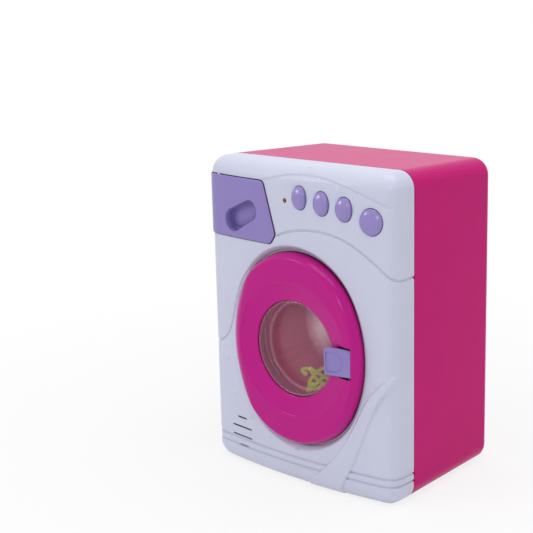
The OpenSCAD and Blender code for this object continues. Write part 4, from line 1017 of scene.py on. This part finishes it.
def bevelLine():
    # the pad's bevelled sides: below, left and above
    r, far = latch["corner"], latch["right"] + 3
    low, high = latch["low"], latch["high"]
    return np.concatenate([
        [(far, low)], arc((latch["left"] + r, low + r), r, 270, 180, 9),
        arc((latch["left"] + r, high - r), r, 180, 90, 9), [(far, high)]])


def hollowLoop(grow):
    r, cut = latch["hollowRadius"] + grow, latch["hollowCorner"]
    left = latch["hollowLeft"] - grow + cut
    return np.concatenate([
        arc((latch["hollowMiddle"], latchMiddle), r, -90, 90, 28),
        arc((left, latchMiddle + r - cut), cut, 90, 180, 6),
        arc((left, latchMiddle - r + cut), cut, 180, 270, 6)])


def padFront(x):
    return latch["front"] + (x - latch["left"]) * latch["slope"]


def padSurface(xz):
    t = 1 - np.clip(lineDistance(xz, bevelLine()) / latch["bevel"], 0, 1)
    y = padFront(xz[:, 0]) + latch["bevel"] * (0.65 * t + 0.35 * t * t)
    y += lipAlong(xz, padLoop(0.0), latch["lip"])
    y += latch["hollow"] * smooth(-0.2, 0.25, depthInside(xz, hollowLoop(0.0)))
    return np.stack([xz[:, 0], y, xz[:, 1]], 1)


def makeLatch():
    mesh = bmesh.new()
    guides = [padLoop(g) for g in (-0.12, -0.35, -0.6, -0.85, -1.1, -1.4)]
    guides += [hollowLoop(g) for g in (0.3, 0.15, 0, -0.15, -0.35, -0.7)]
    addSheet(mesh, padLoop(0), [], [], guides, gridPoints((39, 99), (61, 120), 2.4), padSurface)
    closeBack(mesh, lambda co: padFront(co.x) + latch["thick"])
    (x, y), eye, long = latch["pin"], latch["eye"], latch["eyeLong"]
    low, high = latch["low"] + 0.2, latch["high"] - 0.2
    for z in (low, high - long):
        addRod(mesh, (x, y, z), (x, y, z + long), eye)
        addBlock(mesh, x - eye, x + eye, y - 4, y, z, z + long, 0.3)
    (left, right), back = latch["hook"], latch["hookBack"]
    addBlock(mesh, x, right, y + 1.2, y + eye, low, high, 0.3)
    addBlock(mesh, left, right, y + 1.2, back, *latch["hookHeights"], 0.3)
    addBlock(mesh, left - 1.5, right, -0.5, back, *latch["hookHeights"], 0.3)
    return mesh


finishPiece("latchPad", makeLatch(), "lilac", "latch", "door_latch")

tray = {"proud": 1.1, "wrap": 1.4, "skin": 1.6, "lip": 0.8, "pocket": 2.3, "scoopLip": 0.45, "scoopWall": 0.3,
        "ends": [(-60.2, 202.4, 9.1), (-41.5, 211.9, 8.2)], "box": (-84.05, -28.65, 192.0, 233.5),
        "back": 60.0, "wall": 1.6, "fronts": (2.9, -1.5, -5.5, 2.8)}


def scoopLoop(grow):
    (x0, z0, r0), (x1, z1, r1) = tray["ends"]
    way = np.array([x1 - x0, z1 - z0])
    far = np.linalg.norm(way)
    between = [(far * t, r0 + (r1 - r0) * t + grow) for t in (0.8, 0.6, 0.4, 0.2)]
    below = [(x, -z) for x, z in between[::-1]]
    pts = np.concatenate([arc((0, 0), r0 + grow, 90, 270, 26), below,
                          arc((far, 0), r1 + grow, -90, 90, 24), between])
    c, s = way / far
    return pts @ np.array([(c, s), (-s, c)]) + (x0, z0)


def drawerSurface(st):
    p = shellPoint(st)
    lip = lipAlong(st, drawerLoop(0.0, tray["wrap"]), tray["lip"])
    p += shellNormal(st) * (tray["proud"] - lip)[:, None]
    deep = depthInside(st, scoopLoop(0.0))
    p[:, 1] += lipDrop(np.maximum(-deep, 0), tray["scoopLip"])
    floorY = tray["pocket"] - lipDrop(np.maximum(deep - tray["scoopWall"], 0), 1.0)
    inside = deep > 1e-6
    p[inside, 1] += ((floorY - p[:, 1]) * np.clip(deep / tray["scoopWall"], 0, 1))[inside]
    return p


def makeDrawer():
    mesh = bmesh.new()
    guides = [drawerLoop(g, tray["wrap"] + g) for g in (-0.1, -0.3, -0.6)]
    guides += [scoopLoop(g) for g in (0.6, 0.35, 0.15, 0, -0.3, -0.55, -0.9, -1.4, -1.9)]
    loose = gridPoints((-96, 186), (-15, 242), 3.6)
    loose = loose[insideLoop(loose, drawerLoop(-1.0, tray["wrap"] - 1.0))]
    addSheet(mesh, drawerLoop(0.0, tray["wrap"]), [], [], guides, loose, drawerSurface)
    faceForward(mesh)
    mesh = thicken(mesh, tray["skin"])
    x0, x1, z0, z1 = tray["box"]
    w, back = tray["wall"], tray["back"]
    base, left, right, face = tray["fronts"]
    for sides in ((x0, x1, base, back, z0, z0 + w), (x0, x0 + w, left, back, z0 + 0.2, z1),
                  (x1 - w, x1, right, back, z0 + 0.2, z1), (x0 + 0.2, x1 - 0.2, back - w, back, z0 + 0.2, z1),
                  (x0 + 0.2, x1 - 0.2, face, face + w, z0 + 0.2, z1)):
        addBlock(mesh, *sides, 0.5)
    return mesh


finishPiece("drawerFront", makeDrawer(), "lilac", "drawer", "detergent_drawer")

buttons = {"button_1": "buttonCap1", "button_2": "buttonCap2", "button_3": "buttonCap3",
           "start_button": "startCap"}
cap = {"proud": 3.4, "domes": (17.0, 17.0, 17.0, 22.0), "lip": 0.9, "face": 1.7, "facing": 0.35, "skirt": 4.2,
       "stemRadius": 3.0, "stemEnd": 8.1}


def makeButton(spot, size, dome):
    tilt = math.asin(spot[0] / bowRadius)
    front = bowY(spot[0]) - cap["proud"]
    centre = (spot[0] - dome * math.sin(tilt), front + dome * math.cos(tilt))
    outline = lambda grow: ovalLoop(spot, *size, grow, 64)

    def surface(xz):
        y = centre[1] - np.sqrt(dome**2 - (xz[:, 0] - centre[0]) ** 2 - (xz[:, 1] - spot[1]) ** 2)
        rim = lineDistance(xz, outline(0.0), True)
        y += lipDrop(rim, cap["lip"]) - cap["facing"] * smooth(cap["face"] - 0.3, cap["face"] + 0.3, rim)
        return np.stack([xz[:, 0], y, xz[:, 1]], 1)

    mesh = bmesh.new()
    grows = (-0.06, -0.18, -0.36, -0.6, -0.9, -1.25, -1.6, -1.85, -2.1, -2.35, -3.2, -4.4)
    addSheet(mesh, outline(0.0), [], [], [outline(g) for g in grows], [spot], surface)
    closeBack(mesh, lambda co: front + cap["proud"] + cap["skirt"])
    addRod(mesh, (spot[0], front + 5, spot[1]), (spot[0], cap["stemEnd"], spot[1]), cap["stemRadius"])
    return mesh


for body, spot, size, dome in zip(buttons, buttonSpots, buttonSizes, cap["domes"]):
    finishPiece(buttons[body], makeButton(spot, size, dome), "lilacGlossy", body, body)

lens = {"radius": 1.58, "set": 0.5, "long": 4.3, "collar": 1.95, "end": 5.5, "leads": (-0.7, 0.7),
        "leadRadius": 0.3, "leadEnd": 13.95}


def makeLens():
    (x, z), radius = lightSpot, lens["radius"]
    base = float(bowY(x)) + lens["set"]
    profile = [(r, base - y) for y, r in arc((0, 0), radius, 0, 90, 10)]
    profile += [(radius, base + lens["long"]), (lens["collar"], base + lens["long"] + 0.1),
                (lens["collar"], base + lens["end"]), (0, base + lens["end"])]
    mesh = bmesh.new()
    addTurned(mesh, lightSpot, profile, 40)
    for off in lens["leads"]:
        start = (x + off, base + lens["end"] - 0.2, z)
        addRod(mesh, start, (x + off, lens["leadEnd"], z), lens["leadRadius"], 12, 0)
    return mesh


finishPiece("statusLens", makeLens(), "ledRed", "housing", "status_light", 40)

hanger = {"bar": 1.35, "half": 17.0, "end": 0.3, "ball": 1.45,
          "shoulder": [(15.6, 1.6), (12.6, 3.2), (9.0, 5.6), (4.5, 6.5)],
          "hook": [(0, 5.6), (0.7, 9), (0.8, 12.5), (-0.4, 15.6), (-2.8, 17), (-4.9, 15.6), (-5, 13)]}
hangers = {"clothesHangerA": ("hanger_a", (4.6, 28.9, 76.7), (57.2, 36.0, -145.6)),
           "clothesHangerB": ("hanger_b", (-4.2, 31.8, 74.6), (90.0, -21.7, -62.5))}


def makeHanger(at, turn):
    whole = posed(at, turn, "ZYX")
    lift = lambda line: [whole @ Vector((x, 0, z)) for x, z in line]
    half, end, right = hanger["half"], hanger["end"], hanger["shoulder"]
    shoulder = [(half, end)] + right + [(0, 6.7)] + [(-x, z) for x, z in right[::-1]] + [(-half, end)]
    straight = [(x, 0) for x in np.linspace(-half, half, 12)]
    mesh = bmesh.new()
    for line in (throughPoints(shoulder, 6), straight, throughPoints(hanger["hook"], 6)):
        addTube(mesh, lift(line), hanger["bar"], 14)
    for point in lift([(half, end), (-half, end), hanger["hook"][-1]]):
        bmesh.ops.create_uvsphere(mesh, u_segments=16, v_segments=8, radius=hanger["bar"] * hanger["ball"],
                                  matrix=Matrix.Translation(point))
    return mesh


for name, (node, at, turn) in hangers.items():
    finishPiece(name, makeHanger(at, turn), "hangerGreen", "drum", node, 50)

springs = {"turns": 4, "coil": 5.1, "wire": 0.35, "seat": 13.9, "capReach": 5.6, "clear": 4.2}
latchSpring = {"turns": 5, "coil": 1.75, "wire": 0.4, "from": 5, "long": 13.5}


def makeSpring(at, way, spec, length):
    # a coil from at along way, with its ends wound flat
    turns, wire = spec["turns"], spec["wire"]
    t = np.linspace(0, 1, 28 * turns)
    climb = smooth(0, 1, t) * 0.35 + t * 0.65
    angle = t * turns * 2 * math.pi
    way, side = np.array(way, float), np.array((1.0, 0, 0))
    path = np.array(at) + np.outer(wire + (length - 2 * wire) * climb, way)
    path += spec["coil"] * (np.outer(np.cos(angle), side) + np.outer(np.sin(angle), np.cross(way, side)))
    mesh = bmesh.new()
    addTube(mesh, path, wire, 10)
    return mesh


springNodes = ("button_spring_1", "button_spring_2", "button_spring_3", "start_spring")
for node, (x, z) in zip(springNodes, buttonSpots):
    low = float(bowY(x + springs["capReach"])) + shell["wall"] + springs["clear"]
    coil = makeSpring((x, springs["seat"], z), (0, -1, 0), springs, springs["seat"] - low)
    finishPiece(node.replace("_", ""), coil, "springWire", "housing", node, 60)
low = latch["low"] + latchSpring["from"]
coil = makeSpring((*latch["pin"], low), (0, 0, 1), latchSpring, latchSpring["long"])
finishPiece("latchCoil", coil, "springWire", "door", "latch_spring", 60)

stage = {"size": 8.0, "colour": (250, 250, 252), "glowNear": 0.8, "near": 0.14, "far": 0.62, "fill": 0.5,
         "fillColour": (0.97, 0.98, 1, 1)}


def seenDirectly(tree):
    # 1 for what the camera sees, also through clear plastic and in reflections
    rays = tree.nodes.new("ShaderNodeLightPath").outputs
    seen = rays["Is Camera Ray"]
    for name in ("Is Glossy Ray", "Is Transmission Ray"):
        seen = addNode(tree, "Math", {0: seen, 1: rays[name]}, "MAXIMUM").outputs[0]
    return seen


def mixInto(tree, output, share, low, high):
    mix = addNode(tree, "MixShader", {"Fac": share, 1: low.outputs[0], 2: high.outputs[0]})
    addNode(tree, output, {"Surface": mix.outputs[0]})


half = stage["size"] / 2
floorMesh = bpy.data.meshes.new("floor")
corners = [(-half, -half, 0), (half, -half, 0), (half, half, 0), (-half, half, 0)]
floorMesh.from_pydata(corners, [], [(0, 1, 2, 3)])
floor = addObject("floor", floorMesh)
floorMat = bpy.data.materials.new("paleFloor")
floorMat.use_nodes = True
tree = floorMat.node_tree
tree.nodes.clear()
where = tree.nodes.new("ShaderNodeTexCoord").outputs["Object"]
away = addNode(tree, "VectorMath", {0: where}, "LENGTH").outputs["Value"]
# the floor turns to plain white away from the toy's shadow
fade = mapRange(tree, away, stage["near"], stage["far"], stage["glowNear"], 1.0, True)
share = addNode(tree, "Math", {0: seenDirectly(tree), 1: fade}, "MULTIPLY").outputs[0]
matte = addNode(tree, "BsdfDiffuse", {"Color": tint(*stage["colour"])})
mixInto(tree, "OutputMaterial", share, matte, addNode(tree, "Emission", {"Color": white, "Strength": 1}))
floorMesh.materials.append(floorMat)

world = bpy.data.worlds.new("studio")
bpy.context.scene.world = world
world.use_nodes = True
tree = world.node_tree
tree.nodes.clear()
fill = addNode(tree, "Background", {"Color": stage["fillColour"], "Strength": stage["fill"]})
backdrop = addNode(tree, "Background", {"Color": white, "Strength": 1})
mixInto(tree, "OutputWorld", seenDirectly(tree), fill, backdrop)

lamps = {
    "overhead": {"at": (0.1, 0.05, 1.1), "size": 0.7, "power": 4.2},
    "frontRight": {"at": (1.0, -1.0, 0.9), "size": 0.3, "power": 3.6},
    "frontLeft": {"at": (-0.8, -1.1, 0.7), "size": 0.35, "power": 3.2},
}
lampAim = Vector((0, 0, 0.12))
for name, spec in lamps.items():
    data = bpy.data.lights.new(name, "AREA")
    data.shape = "SQUARE"
    data.size = spec["size"]
    data.energy = spec["power"]
    lamp = addObject(name, data)
    lamp.location = spec["at"]
    lamp.rotation_euler = (lampAim - Vector(spec["at"])).to_track_quat("-Z", "Y").to_euler()

cameraSpec = {"azimuth": 42.58, "elevation": 13.36, "roll": -1.51, "at": (0.61809, -0.76317, 0.39606),
              "lens": 86.36, "sensor": 36, "nearest": 0.01}
cameraData = bpy.data.cameras.new("camera")
cameraData.lens = cameraSpec["lens"]
cameraData.sensor_width = cameraSpec["sensor"]
cameraData.clip_start = cameraSpec["nearest"]
camera = addObject("camera", cameraData)
turns = (cameraSpec["azimuth"], 90 - cameraSpec["elevation"], cameraSpec["roll"])
camera.matrix_world = posed(cameraSpec["at"], turns, "ZXZ")
bpy.context.scene.camera = camera
bpy.context.scene.view_settings.view_transform = "Standard"
print("stage, lamps and camera set")
